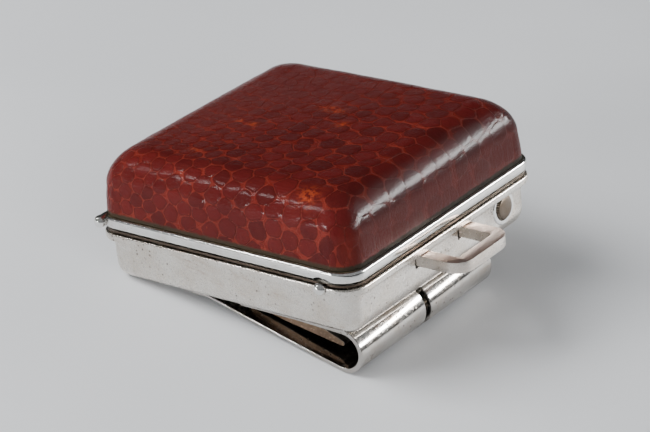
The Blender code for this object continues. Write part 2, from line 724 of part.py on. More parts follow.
def make_pin(name, radius, half_length, place):
    """A pin along Y with a domed head at each end."""
    dome = arc((0.0, half_length), PIN_HEAD_RADIUS, 90, 0, 5)
    squash = PIN_HEAD_LENGTH / PIN_HEAD_RADIUS
    top = [(r, half_length + (h - half_length) * squash) for r, h in dome]
    top[0] = (0.0, half_length + PIN_HEAD_LENGTH)
    bottom = [(r, -h) for r, h in reversed(top)]
    profile = top + [(radius, half_length), (radius, -half_length)] + bottom
    turned(name, profile, place, "Y", case_frame, nickel, steps=20)


# Thumb loop and catch


def loop_line():
    """The loop's centreline in plan: up one arm, round two corners and back down the other."""
    near, far = arm_centers()
    end = HALF_X + LOOP_REACH - LOOP_BAR / 2
    start = PIVOT_X - EYE_RADIUS
    radius = LOOP_CORNER - LOOP_BAR / 2
    line = [(start, near), (HALF_X, near)]
    line += arc((end - radius, near + radius), radius, -90, 0, 5)
    line += arc((end - radius, far - radius), radius, 0, 90, 5)
    line += [(HALF_X, far), (start, far)]
    return line


def make_thumb_loop():
    """A flat bar bent round, with an eye on the end of each arm for the catch pin."""
    outline = strip_outline(loop_line(), LOOP_BAR)
    loop = prism("thumb_loop", [outline], LOOP_BOTTOM, LOOP_TOP, catch_pivot, nickel)
    for i, y in enumerate(arm_centers(), 1):
        half = LOOP_BAR / 2 - 0.05 * MM
        eye = arc((PIVOT_X, PIVOT_Z), EYE_RADIUS, 0, 180, 10)
        eye += [(PIVOT_X - EYE_RADIUS + 0.05 * MM, LOOP_BOTTOM + 0.1 * MM)]
        eye += [(PIVOT_X + EYE_RADIUS + 0.6 * MM, LOOP_BOTTOM + 0.1 * MM)]
        ear = prism(f"loop_ear_{i}", [eye], y - half, y + half, catch_pivot, plane="XZ")
        cut(loop, ear, operation="UNION")
    hole = rod(
        "loop_pin_hole",
        CATCH_PIN_RADIUS + RUNNING_GAP,
        (PIVOT_X, -HALF_Y, PIVOT_Z),
        (PIVOT_X, HALF_Y, PIVOT_Z),
        "Y",
        catch_pivot,
    )
    cut(loop, hole)


def make_catch():
    """The beak between the loop's arms, the pin they turn on, and the leaf spring that lifts the loop."""
    near, far = arm_centers()
    half = min(BEAK_LENGTH, far - near - LOOP_BAR - 0.2 * MM) / 2
    keeper_x = HALF_X - RIM_WIDTH + 0.05 * MM
    tip = keeper_x - 0.15 * MM
    root = PIVOT_X + CATCH_PIN_RADIUS + 0.1 * MM
    outline = [
        (root, LOOP_BOTTOM + 0.2 * MM),
        (root + BEAK_THICKNESS, LOOP_BOTTOM + 0.2 * MM),
        (root + BEAK_THICKNESS, PIVOT_Z - 0.2 * MM),
        (tip, PIVOT_Z + 0.1 * MM),
        (tip, PIVOT_Z + 0.5 * MM),
        (root + 0.2 * MM, PIVOT_Z + 0.9 * MM),
        (root, PIVOT_Z + 0.7 * MM),
    ]
    low, high = LOOP_OFFSET - half, LOOP_OFFSET + half
    prism("catch_beak", [outline], low, high, catch_pivot, steel, "XZ")
    make_pin("catch_pin", CATCH_PIN_RADIUS, HALF_Y + RUNNING_GAP, (PIVOT_X, 0.0, PIVOT_Z))
    foot = TRAY_WALL + RUNNING_GAP + SPRING_THICKNESS / 2
    head = LOOP_BOTTOM - 0.7 * MM
    line = [
        (PIVOT_X - 3.2 * MM, foot),
        (PIVOT_X, foot),
        (PIVOT_X + 0.5 * MM, foot + 0.1 * MM),
        (PIVOT_X - 0.6 * MM, (foot + head) / 2),
        (PIVOT_X + 0.2 * MM, head - 0.2 * MM),
        (PIVOT_X + 0.9 * MM, head - 0.3 * MM),
    ]
    for i, y in enumerate(arm_centers(), 1):
        low, high = y - SPRING_WIDTH / 2, y + SPRING_WIDTH / 2
        outline = strip_outline(line, SPRING_THICKNESS)
        prism(f"catch_spring_{i}", [outline], low, high, case_frame, steel, "XZ")


# Clip


def clip_edges():
    return CLIP_Y - CLIP_WIDTH / 2, CLIP_Y + CLIP_WIDTH / 2


def make_clip_strap():
    """The fixed half of the spring strip: flat under the tray, then rolled round towards the leaf."""
    start = 270 - LEAF_SLOPE
    roll = arc((ROLL_X, ROLL_Z), FLEX_RADIUS, start, 450, 22)
    line = roll + [(STRAP_FLAT_X, STRAP_Z), (STRAP_END_X, STRAP_Z)]
    low, high = clip_edges()
    strap = prism("clip_strap", [strip_outline(line, CLIP_THICKNESS)], low, high, case_frame, nickel, "XZ")
    slot_low = (FLEX_X - MM, CLIP_Y - SLOT_WIDTH / 2, ROLL_Z - ROLL_RADIUS - MM)
    slot_high = (ROLL_X + ROLL_RADIUS + MM, CLIP_Y + SLOT_WIDTH / 2, ROLL_Z + ROLL_RADIUS + MM)
    cut(strap, box("strap_slot", slot_low, slot_high, case_frame))
    cut(strap, *rivet_holes("strap"))


def make_clip_leaf():
    """The moving half: a leaf that rises to meet the case, with a tip that lies flat along it."""
    along = Vector((-cos(SLOPE), sin(SLOPE)))
    start = Vector((FLEX_X, FLEX_Z)) + along * RUNNING_GAP
    bend = Vector((FLEX_X, FLEX_Z)) + along * LEAF_LENGTH
    line = [tuple(start), tuple(start + along * LEAF_LENGTH * 0.5), tuple(bend)]
    point = bend
    for angle, length in ((SLOPE * 0.7, 0.2), (SLOPE * 0.35, 0.2), (0.0, 0.6)):
        point = point + Vector((-cos(angle), sin(angle))) * LEAF_TIP * length
        line.append(tuple(point))
    low, high = clip_edges()
    leaf = prism("clip_leaf", [strip_outline(line, CLIP_THICKNESS)], low, high, leaf_pivot, nickel, "XZ")
    slot_low = (FLEX_X - SLOT_RUN, CLIP_Y - SLOT_WIDTH / 2, ROLL_Z - ROLL_RADIUS - MM)
    slot_high = (ROLL_X + MM, CLIP_Y + SLOT_WIDTH / 2, 0.0)
    cut(leaf, box("leaf_slot", slot_low, slot_high, leaf_pivot))


def make_clip_tongue():
    """The pressed channel inside the clip: flat where it is riveted, then slanting to a round nose."""
    top = TONGUE_TOP
    nose_x, nose_z = ROLL_X - 1.9 * MM, ROLL_Z - 0.45 * MM
    nose = arc((nose_x - 0.1 * MM, nose_z), 0.4 * MM, 60, -100, 5)
    bend_x, heel_x = ROLL_X - TONGUE_BEND, ROLL_X - TONGUE_HEEL
    heel = (heel_x, leaf_top_z(heel_x) + 0.3 * MM)
    outline = [(STRAP_END_X, top), (bend_x, top), *nose, heel, (STRAP_END_X, top - 0.7 * MM)]
    low, high = CLIP_Y - TONGUE_WIDTH / 2, CLIP_Y + TONGUE_WIDTH / 2
    tongue = prism("clip_tongue", [outline], low, high, case_frame, nickel, "XZ")
    wall = TONGUE_WALL
    hollow = [
        (STRAP_END_X - MM, top - wall),
        (bend_x - 0.2 * MM, top - wall),
        (nose_x - 1.2 * MM, nose_z + 0.2 * MM),
        (nose_x - 2.0 * MM, nose_z - 2 * MM),
        (STRAP_END_X - MM, nose_z - 2 * MM),
    ]
    channel = prism("tongue_channel", [hollow], low + wall, high - wall, case_frame, plane="XZ")
    cut(tongue, channel)
    cut(tongue, *rivet_holes("tongue"))


def leaf_top_z(x):
    """The height of the leaf's inner face at a place along X."""
    return FLEX_Z + CLIP_THICKNESS / 2 / cos(SLOPE) + (FLEX_X - x) * sin(SLOPE) / cos(SLOPE)


def rivet_places():
    return [(RIVET_X, CLIP_Y - RIVET_SPREAD / 2), (RIVET_X, CLIP_Y + RIVET_SPREAD / 2)]


def rivet_holes(owner):
    low_z, high_z = TONGUE_TOP - TONGUE_WALL - 0.3 * MM, TRAY_WALL + 0.3 * MM
    holes = []
    for i, (x, y) in enumerate(rivet_places(), 1):
        name = f"{owner}_rivet_hole_{i}"
        radius = RIVET_RADIUS + RUNNING_GAP
        holes.append(rod(name, radius, (x, y, low_z), (x, y, high_z), "Z", case_frame))
    return holes


def make_rivets():
    """Each rivet runs through the tray's floor, the strap and the tongue, with a head on both sides."""
    head, shank, rise = RIVET_HEAD_RADIUS, RIVET_RADIUS, RIVET_HEAD_HEIGHT
    top = TRAY_WALL + 0.05 * MM
    bottom = TONGUE_TOP - TONGUE_WALL - 0.05 * MM
    profile = [
        (0.0, top + rise),
        (head * 0.6, top + rise * 0.85),
        (head, top),
        (shank, top),
        (shank, bottom),
        (head, bottom),
        (head * 0.6, bottom - rise * 0.85),
        (0.0, bottom - rise),
    ]
    for i, (x, y) in enumerate(rivet_places(), 1):
        turned(f"clip_rivet_{i}", profile, (x, y, 0.0), "Z", case_frame, steel, steps=16)


# How the object lies


def resting_tilt():
    """The tilt at which the clip's roll and the tray's hinge-side edge both touch the table."""
    edge = Vector((-WALL_X + TRAY_FILLET, TRAY_FILLET))
    line = Vector((ROLL_X, ROLL_Z)) - edge
    return atan2(-line.y, line.x) + asin((ROLL_RADIUS - TRAY_FILLET) / line.length)


def set_down():
    """Moves the case so that the origin is under the middle of the whole object, on the table."""
    bpy.context.view_layer.update()
    graph = bpy.context.evaluated_depsgraph_get()
    points = []
    for piece in PARTS.objects:
        if piece.type == "MESH":
            placed = piece.evaluated_get(graph)
            points += [placed.matrix_world @ vertex.co for vertex in placed.data.vertices]
    low = Vector([min(point[i] for point in points) for i in range(3)])
    high = Vector([max(point[i] for point in points) for i in range(3)])
    case_frame.location -= Vector(((low.x + high.x) / 2, (low.y + high.y) / 2, low.z))


clear_scene()
PARTS = new_collection("money_clip")
CUTTERS = new_collection("cutters")

nickel = new_material("satin_nickel", (0.62, 0.6, 0.56), 1.0, 0.3)
chrome = new_material("bright_chrome", (0.75, 0.75, 0.74), 1.0, 0.12)
steel = new_material("spring_steel", (0.5, 0.5, 0.5), 1.0, 0.35)
brass = new_material("gilt_brass", (0.7, 0.52, 0.25), 1.0, 0.35)
silver = new_material("silvered_dial", (0.85, 0.84, 0.8), 0.3, 0.5)
blued = new_material("blued_steel", (0.03, 0.05, 0.2), 1.0, 0.3)
glass = new_material("watch_glass", (0.95, 0.97, 0.98), 0.0, 0.03, 1.0)
leather = new_material("oxblood_leather", (0.27, 0.06, 0.035), 0.0, 0.35)
lining = new_material("suede_lining", (0.22, 0.09, 0.05), 0.0, 0.9)

case_frame = new_empty("case_frame", None, (0.0, 0.0, 0.0))
case_frame.rotation_euler = (0.0, -resting_tilt(), 0.0)
lid_pivot = new_empty("lid_pivot", case_frame, (HINGE_X, 0.0, HINGE_Z))
catch_pivot = new_empty("catch_pivot", case_frame, (PIVOT_X, 0.0, PIVOT_Z))
leaf_pivot = new_empty("leaf_pivot", case_frame, (FLEX_X, CLIP_Y, FLEX_Z))
stem_pivot = new_empty("stem_pivot", case_frame, (CROWN_FACE_X, CROWN_Y, CROWN_Z))
crown_pivot = new_empty("crown_pivot", case_frame, (CROWN_FACE_X, CROWN_Y, CROWN_Z))
hour_pivot = new_empty("hour_pivot", case_frame, (DIAL_X, 0.0, HOUR_Z))
minute_pivot = new_empty("minute_pivot", case_frame, (DIAL_X, 0.0, MINUTE_Z))

add_tray_details(make_tray())
make_frame_plate()
make_frame_screws()
make_movement()
make_hand("hour_hand", HOUR_HAND, HOUR_Z, hour_pivot, 150.0)
make_hand("minute_hand", MINUTE_HAND, MINUTE_Z, minute_pivot, 35.0)
make_glass()
make_crown()
make_lid()
make_hinge()
make_thumb_loop()
make_catch()
make_clip_strap()
make_clip_leaf()
make_clip_tongue()
make_rivets()
set_down()
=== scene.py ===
"""The looks of the money clip with its hinged, leather-covered watch case.

Shapes are made in the case's own frame in millimetres: +X towards the thumb loop, +Y
towards the crown's corner, +Z out of the dial, zero at the middle of the tray's underside.
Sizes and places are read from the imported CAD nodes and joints.
"""
import json
from math import atan2, cos, degrees, pi, radians, sin

import bmesh
import bpy
import numpy as np
from mathutils import Matrix, Vector


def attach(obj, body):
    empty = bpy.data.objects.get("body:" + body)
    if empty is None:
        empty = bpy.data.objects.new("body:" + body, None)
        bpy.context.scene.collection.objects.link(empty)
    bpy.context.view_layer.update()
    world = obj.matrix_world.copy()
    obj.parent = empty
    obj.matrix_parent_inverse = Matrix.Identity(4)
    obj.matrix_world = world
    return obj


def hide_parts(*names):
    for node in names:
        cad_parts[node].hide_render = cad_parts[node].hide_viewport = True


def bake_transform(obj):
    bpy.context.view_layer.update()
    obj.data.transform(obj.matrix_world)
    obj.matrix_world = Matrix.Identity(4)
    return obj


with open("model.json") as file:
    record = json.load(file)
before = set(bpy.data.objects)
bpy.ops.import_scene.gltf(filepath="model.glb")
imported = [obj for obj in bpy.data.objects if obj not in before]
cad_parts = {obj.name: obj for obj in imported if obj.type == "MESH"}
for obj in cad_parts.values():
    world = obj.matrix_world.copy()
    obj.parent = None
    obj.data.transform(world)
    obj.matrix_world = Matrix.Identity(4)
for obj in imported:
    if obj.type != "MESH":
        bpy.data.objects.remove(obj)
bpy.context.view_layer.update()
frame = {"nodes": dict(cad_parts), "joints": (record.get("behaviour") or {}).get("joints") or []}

SEED = 7
# Sizes in mm that no single CAD node gives
STRIP_THICKNESS = 0.7
LEAF_THICKNESS = 0.42
ROLL_RADIUS = 3.25
LOOP_BAR = 2.0
TRAY_WALL = 0.7
CASE_CORNER = 3.6
NODES = frame["nodes"]
JOINTS = {joint["name"]: joint for joint in frame["joints"]}


# The case's own frame


def case_matrix():
    """World from case-frame millimetres, from the stem's axis and the tray's box."""
    ex = Vector(JOINTS["stem_pull"]["axis"]).normalized()
    ey = Vector((0.0, 1.0, 0.0))
    turn = Matrix((ex, ey, ex.cross(ey))).transposed()
    local = [turn.transposed() @ v.co for v in NODES["case_tray"].data.vertices]
    low = [min(p[i] for p in local) for i in range(3)]
    high = [max(p[i] for p in local) for i in range(3)]
    origin = turn @ Vector(((low[0] + high[0]) / 2, (low[1] + high[1]) / 2, low[2]))
    return Matrix.Translation(origin) @ turn.to_4x4() @ Matrix.Scale(0.001, 4)


CASE = case_matrix()
CASE_TURN = CASE.to_3x3().normalized()
TO_CASE = CASE.inverted()
TO_CASE_TURN = CASE_TURN.inverted()


def local_box(node):
    """(lowest, highest) corner of a CAD node in case-frame millimetres."""
    points = np.array([TO_CASE @ v.co for v in NODES[node].data.vertices])
    return points.min(0), points.max(0)


def local_place(name):
    """A joint's place in case-frame millimetres."""
    return TO_CASE @ Vector(JOINTS[name]["pos_m"])


# Mesh helpers


def place_points(points):
    """Case-frame millimetres to world metres."""
    matrix = np.array(CASE)
    return points @ matrix[:3, :3].T + matrix[:3, 3]


def new_object(name, data):
    thing = bpy.data.objects.new(name, data)
    bpy.context.scene.collection.objects.link(thing)
    return thing


def mesh_from_shape(name, shape):
    mesh = bpy.data.meshes.new(name)
    shape.to_mesh(mesh)
    shape.free()
    return mesh


def add_piece(name, mesh, body, materials, stands_for=(), angle=30):
    """An object for a mesh, with its body and the CAD nodes that it replaces."""
    piece = new_object(name, mesh)
    mesh.materials.clear()
    for material in materials:
        mesh.materials.append(material)
    mesh.shade_smooth()
    mesh.set_sharp_from_angle(angle=radians(angle))
    if body:
        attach(piece, body)
    if stands_for:
        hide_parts(*stands_for)
    return piece


def mesh_from(name, points, faces, attributes=None):
    mesh = bpy.data.meshes.new(name)
    mesh.from_pydata(place_points(np.asarray(points, float)).tolist(), [], faces)
    for key, values in (attributes or {}).items():
        layer = mesh.attributes.new(key, "FLOAT", "POINT")
        layer.data.foreach_set("value", np.asarray(values, np.float32))
    return mesh


def rectangle_ring(half_x, half_y, radius, corner_steps=10):
    """A rounded rectangle, anticlockwise, with straight sides as single edges."""
    radius = min(radius, half_x - 0.01, half_y - 0.01)
    ring = []
    for k, (sx, sy) in enumerate(((1, 1), (-1, 1), (-1, -1), (1, -1))):
        cx, cy = sx * (half_x - radius), sy * (half_y - radius)
        for i in range(corner_steps + 1):
            t = pi / 2 * (k + i / corner_steps)
            ring.append((cx + radius * cos(t), cy + radius * sin(t)))
    return ring


def loft_mesh(name, rings, closed_section=False):
    """A skin through rings of equal length. A closed section joins the last ring to the first."""
    count = len(rings[0])
    points = [p for ring in rings for p in ring]
    faces = []
    last = len(rings) if closed_section else len(rings) - 1
    for r in range(last):
        a, b = r * count, (r + 1) % len(rings) * count
        for i in range(count):
            j = (i + 1) % count
            faces.append((a + i, a + j, b + j, b + i))
    if not closed_section:
        faces.append(tuple(range(count))[::-1])
        faces.append(tuple(range((len(rings) - 1) * count, len(rings) * count)))
    mesh = mesh_from(name, points, faces)
    fix_normals(mesh)
    return mesh


def fix_normals(mesh):
    shape = bmesh.new()
    shape.from_mesh(mesh)
    bmesh.ops.recalc_face_normals(shape, faces=shape.faces)
    shape.to_mesh(mesh)
    shape.free()


def turned_mesh(name, profile, center, axis, steps=72, flutes=0, flute_depth=0.0, flute_from=0.0):
    """A turned piece from (radius, height) points along the case's X or Y axis, fluted if asked."""
    rings = []
    for radius, height in profile:
        ring = []
        for i in range(steps):
            t = 2 * pi * i / steps
            r = max(radius, 0.001)
            if flutes and radius > flute_from:
                r -= flute_depth * (0.5 - 0.5 * cos(flutes * t)) ** 0.7
            a, b = r * cos(t), r * sin(t)
            offset = {"X": (height, a, b), "Y": (a, height, b)}[axis]
            ring.append(tuple(np.add(center, offset)))
        rings.append(ring)
    return loft_mesh(name, rings)


def box_mesh(name, low, high):
    (x0, y0, z0), (x1, y1, z1) = low, high
    points = [(x, y, z) for x in (x0, x1) for y in (y0, y1) for z in (z0, z1)]
    faces = [(0, 1, 3, 2), (4, 6, 7, 5), (0, 4, 5, 1), (2, 3, 7, 6), (0, 2, 6, 4), (1, 5, 7, 3)]
    mesh = mesh_from(name, points, faces)
    fix_normals(mesh)
    return mesh


def prism_mesh(name, outline, low, high):
    """An outline in the XZ plane, given depth along Y."""
    count = len(outline)
    points = [(x, low, z) for x, z in outline] + [(x, high, z) for x, z in outline]
    faces = [tuple(range(count)), tuple(range(2 * count - 1, count - 1, -1))]
    for i in range(count):
        j = (i + 1) % count
        faces.append((i, i + count, j + count, j))
    mesh = mesh_from(name, points, faces)
    fix_normals(mesh)
    return mesh


def carved(mesh, cutters, bevel=0.0, segments=3, angle=40):
    """The mesh with cutters taken out of it and its sharp edges rounded over."""
    piece = new_object("work", mesh)
    helpers = [new_object("cutter", cutter) for cutter in cutters]
    for helper in helpers:
        boolean = piece.modifiers.new("cut", "BOOLEAN")
        boolean.object = helper
        boolean.solver = "EXACT"
    if bevel:
        rounding = piece.modifiers.new("edge", "BEVEL")
        rounding.width = bevel * 0.001
        rounding.segments = segments
        rounding.limit_method = "ANGLE"
        rounding.angle_limit = radians(angle)
        rounding.use_clamp_overlap = True
    bpy.context.view_layer.update()
    graph = bpy.context.evaluated_depsgraph_get()
    result = bpy.data.meshes.new_from_object(piece.evaluated_get(graph))
    result.name = mesh.name
    for obj in helpers + [piece]:
        bpy.data.objects.remove(obj)
    return result


def swept_mesh(name, section, half_x, half_y, least_corner, closed_section=False):
    """(inset, height) points, carried round a rounded rectangle."""
    rings = []
    for inset, z in section:
        corner = max(CASE_CORNER - inset, least_corner)
        ring = rectangle_ring(half_x - inset, half_y - inset, corner, 14)
        rings.append([(x, y, z) for x, y in ring])
    return loft_mesh(name, rings, closed_section)


def refined_mesh(node, bevel, segments=3, angle=32):
    """A copy of a CAD node's mesh, welded, with flat faces merged and its edges rounded over."""
    shape = bmesh.new()
    shape.from_mesh(NODES[node].data)
    bmesh.ops.remove_doubles(shape, verts=shape.verts, dist=2e-6)
    bmesh.ops.dissolve_limit(shape, angle_limit=radians(1.5), verts=shape.verts, edges=shape.edges)
    return carved(mesh_from_shape(node + "_refined", shape), [], bevel, segments, angle)


def arc(center, radius, start, end, steps):
    """Points along an arc between two angles in degrees."""
    angles = [radians(start + (end - start) * i / steps) for i in range(steps + 1)]
    return [(center[0] + radius * cos(a), center[1] + radius * sin(a)) for a in angles]


def strip_outline(line, width, widths):
    """Both sides of a strip's centreline. Where it thins, only the far side moves in."""
    line = np.array(line, float)
    ahead = np.diff(line, axis=0)
    ahead /= np.linalg.norm(ahead, axis=1)[:, None]
    mean = np.vstack([ahead[:1], ahead[:-1] + ahead[1:], ahead[-1:]])
    mean /= np.linalg.norm(mean, axis=1)[:, None]
    first = np.vstack([ahead[:1], ahead])
    stretch = 1 / np.clip((mean * first).sum(1), 0.5, 1)
    normal = np.stack([-mean[:, 1], mean[:, 0]], 1) * stretch[:, None]
    near = line + normal * width / 2
    far = near - normal * widths[:, None]
    return np.vstack([near, far[::-1]])


# Materials


def smooth_step(tree, value, low, high, to_low, to_high):
    """A node that goes softly from to_low, where value is low, to to_high, where it is high."""
    node = tree.nodes.new("ShaderNodeMapRange")
    node.interpolation_type = "SMOOTHSTEP"
    tree.links.new(value, node.inputs["Value"])
    ends = {"From Min": low, "From Max": high, "To Min": to_low, "To Max": to_high}
    for key, end in ends.items():
        node.inputs[key].default_value = end
    return node.outputs["Result"]


class Nodes:
    """A short way to build a material's node tree."""

    def __init__(self, name):
        self.material = bpy.data.materials.new(name)
        self.material.use_nodes = True
        self.tree = self.material.node_tree
        self.shader = self.tree.nodes["Principled BSDF"]
        coords = self.tree.nodes.new("ShaderNodeTexCoord")
        scale = self.tree.nodes.new("ShaderNodeVectorMath")
        scale.operation = "SCALE"
        scale.inputs["Scale"].default_value = 1000.0
        self.tree.links.new(coords.outputs["Object"], scale.inputs[0])
        self.place = scale.outputs[0]

    def link(self, value, socket):
        if isinstance(value, bpy.types.NodeSocket):
            self.tree.links.new(value, socket)
        elif value is not None:
            if isinstance(value, tuple) and len(value) == 3 and len(socket.default_value) == 4:
                value = (*value, 1.0)
            socket.default_value = value

    def set(self, **values):
        for key, value in values.items():
            self.link(value, self.shader.inputs[key.replace("_", " ")])

    def attribute(self, name):
        node = self.tree.nodes.new("ShaderNodeAttribute")
        node.attribute_name = name
        return node.outputs["Fac"]

    def noise(self, scale, detail=3.0, rough=0.5, stretch=None):
        node = self.tree.nodes.new("ShaderNodeTexNoise")
        node.inputs["Scale"].default_value = scale
        node.inputs["Detail"].default_value = detail
        node.inputs["Roughness"].default_value = rough
        self.tree.links.new(self.stretched(stretch), node.inputs["Vector"])
        return node.outputs["Fac"]

    def stretched(self, stretch):
        """The place in mm, scaled along X, Y and Z, and turned if a rotation follows the three."""
        if not stretch:
            return self.place
        node = self.tree.nodes.new("ShaderNodeMapping")
        node.inputs["Scale"].default_value = stretch[:3]
        if len(stretch) > 3:
            node.inputs["Rotation"].default_value = stretch[3]
        self.tree.links.new(self.place, node.inputs["Vector"])
        return node.outputs[0]

    def voronoi(self, scale):
        """The distance to the nearest of the texture's points."""
        node = self.tree.nodes.new("ShaderNodeTexVoronoi")
        node.inputs["Scale"].default_value = scale
        self.tree.links.new(self.place, node.inputs["Vector"])
        return node.outputs["Distance"]

    def math(self, operation, a, b=0.0):
        node = self.tree.nodes.new("ShaderNodeMath")
        node.operation = operation
        self.link(a, node.inputs[0])
        self.link(b, node.inputs[1])
        return node.outputs[0]

    def step(self, value, low, high, to_low=0.0, to_high=1.0):
        return smooth_step(self.tree, value, low, high, to_low, to_high)

    def product(self, a, b):
        return self.math("MULTIPLY", a, b)

    def mix(self, factor, a, b):
        """Colour a where factor is 0, colour b where it is 1."""
        node = self.tree.nodes.new("ShaderNodeMix")
        node.data_type = "RGBA"
        node.clamp_factor = True
        self.link(factor, node.inputs["Factor"])
        self.link(a, node.inputs[6])
        self.link(b, node.inputs[7])
        return node.outputs[2]

    def bump(self, height, distance, strength=1.0):
        """distance is in metres."""
        node = self.tree.nodes.new("ShaderNodeBump")
        node.inputs["Distance"].default_value = distance
        node.inputs["Strength"].default_value = strength
        self.link(height, node.inputs["Height"])
        return node.outputs[0]


def srgb(red, green, blue):
    """Display values from 0 to 255 to linear light."""
    out = []
    for value in (red, green, blue):
        c = value / 255
        out.append(c / 12.92 if c < 0.04045 else ((c + 0.055) / 1.055) ** 2.4)
    return tuple(out)


def satin_nickel(
    name="satin_nickel", tone=(218, 213, 206), rough=0.27, pits=1.0, stain=0.5, grit=0.012
):
    """Worn nickel plate: soft brown stains, small dark pits and a fine grit in the surface."""
    n = Nodes(name)
    cloud = n.noise(0.22, 4, 0.6)
    fine = n.noise(2.2, 4, 0.7)
    streak = n.noise(1.0, 4, 0.6, (0.12, 0.12, 1.6))
    pit_field = n.noise(0.16, 2, 0.5)
    pit = n.step(n.voronoi(1.15), 0.1, 0.24, 1.0, 0.0)
    pit = n.product(pit, n.step(pit_field, 0.44, 0.58, 0.0, pits))
    small = n.step(n.voronoi(2.4), 0.08, 0.26, 1.0, 0.0)
    small = n.product(small, n.step(n.noise(0.33, 2, 0.5), 0.42, 0.6, 0.0, 0.8 * pits))
    dirt = n.math("MAXIMUM", pit, small)
    darker = srgb(tone[0] - 12, tone[1] - 16, tone[2] - 20)
    base = n.mix(n.step(cloud, 0.35, 0.7), srgb(*tone), darker)
    brown = n.product(n.step(streak, 0.52, 0.75), n.step(cloud, 0.42, 0.6, 0.0, stain))
    base = n.mix(brown, base, srgb(168, 138, 116))
    base = n.mix(n.product(dirt, 0.75), base, srgb(74, 60, 50))
    brushed = n.step(fine, 0.3, 0.75, rough - 0.06, rough + 0.08)
    roughness = n.math("ADD", brushed, n.product(dirt, 0.3))
    height = n.math("SUBTRACT", n.product(fine, grit), n.product(dirt, 0.5))
    n.set(Base_Color=base, Metallic=1.0, Roughness=roughness, Normal=n.bump(height, 0.00002, 0.5))
    return n.material


def chrome():
    """Bright plate with fine scratches, a few dull spots and a trace of tarnish."""
    n = Nodes("bright_chrome")
    cloud = n.noise(0.3, 3, 0.6)
    dull = n.noise(1.4, 4, 0.65)
    scratch_a = n.step(n.noise(1.6, 2, 0.4, (0.35, 6.0, 6.0, (0.3, 0.2, 0.9))), 0.62, 0.7)
    scratch_b = n.step(n.noise(1.3, 2, 0.4, (7.0, 0.4, 5.0, (0.1, 0.5, -0.4))), 0.63, 0.71)
    scratch = n.math("MAXIMUM", scratch_a, scratch_b)
    base = n.mix(n.step(cloud, 0.4, 0.75, 0.0, 0.5), srgb(226, 225, 222), srgb(196, 189, 180))
    spot = n.step(n.voronoi(0.9), 0.03, 0.1, 0.7, 0.0)
    base = n.mix(spot, base, srgb(96, 84, 72))
    roughness = n.math("ADD", n.step(dull, 0.45, 0.75, 0.09, 0.21), n.product(scratch, 0.25))
    height = n.math("ADD", n.product(scratch, -0.5), n.product(dull, 0.15))
    n.set(Base_Color=base, Metallic=1.0, Roughness=roughness, Normal=n.bump(height, 0.00001, 0.15))
    return n.material


def oxidised():
    """The inside of the roll: dark brown oxide with bright worn specks."""
    n = Nodes("oxidised_strip")
    speck = n.noise(2.6, 4, 0.75)
    cloud = n.noise(0.35, 3, 0.6)
    base = n.mix(n.step(cloud, 0.35, 0.65), srgb(100, 82, 67), srgb(126, 104, 86))
    base = n.mix(n.step(speck, 0.54, 0.7, 0.0, 0.7), base, srgb(196, 172, 146))
    n.set(Base_Color=base, Metallic=0.2, Roughness=n.step(speck, 0.3, 0.7, 0.8, 0.6))
    n.set(Specular_IOR_Level=0.3, Normal=n.bump(speck, 0.00003, 0.5))
    return n.material


def coppery_edge():
    """The sheared edge of the strip, where the plate has worn through to a warm metal."""
    n = Nodes("worn_strip_edge")
    cloud = n.noise(0.5, 4, 0.65)
    fine = n.noise(3.0, 3, 0.6)
    base = n.mix(n.step(cloud, 0.36, 0.56), srgb(178, 166, 156), srgb(178, 142, 116))
    base = n.mix(n.step(fine, 0.62, 0.76, 0.0, 0.5), base, srgb(120, 98, 82))
    n.set(Base_Color=base, Metallic=1.0, Roughness=n.step(fine, 0.3, 0.7, 0.24, 0.4))
    n.set(Normal=n.bump(fine, 0.00001, 0.4))
    return n.material


def grime():
    """Old wax and dirt packed between the leather and the rim."""
    n = Nodes("rim_grime")
    cloud = n.noise(0.8, 4, 0.7)
    base = n.mix(n.step(cloud, 0.35, 0.65), srgb(46, 38, 28), srgb(80, 70, 52))
    base = n.mix(n.step(n.noise(3.5, 3, 0.6), 0.6, 0.74, 0.0, 0.6), base, srgb(126, 116, 96))
    n.set(Base_Color=base, Metallic=0.3, Roughness=0.55, Normal=n.bump(cloud, 0.00008, 0.7))
    return n.material


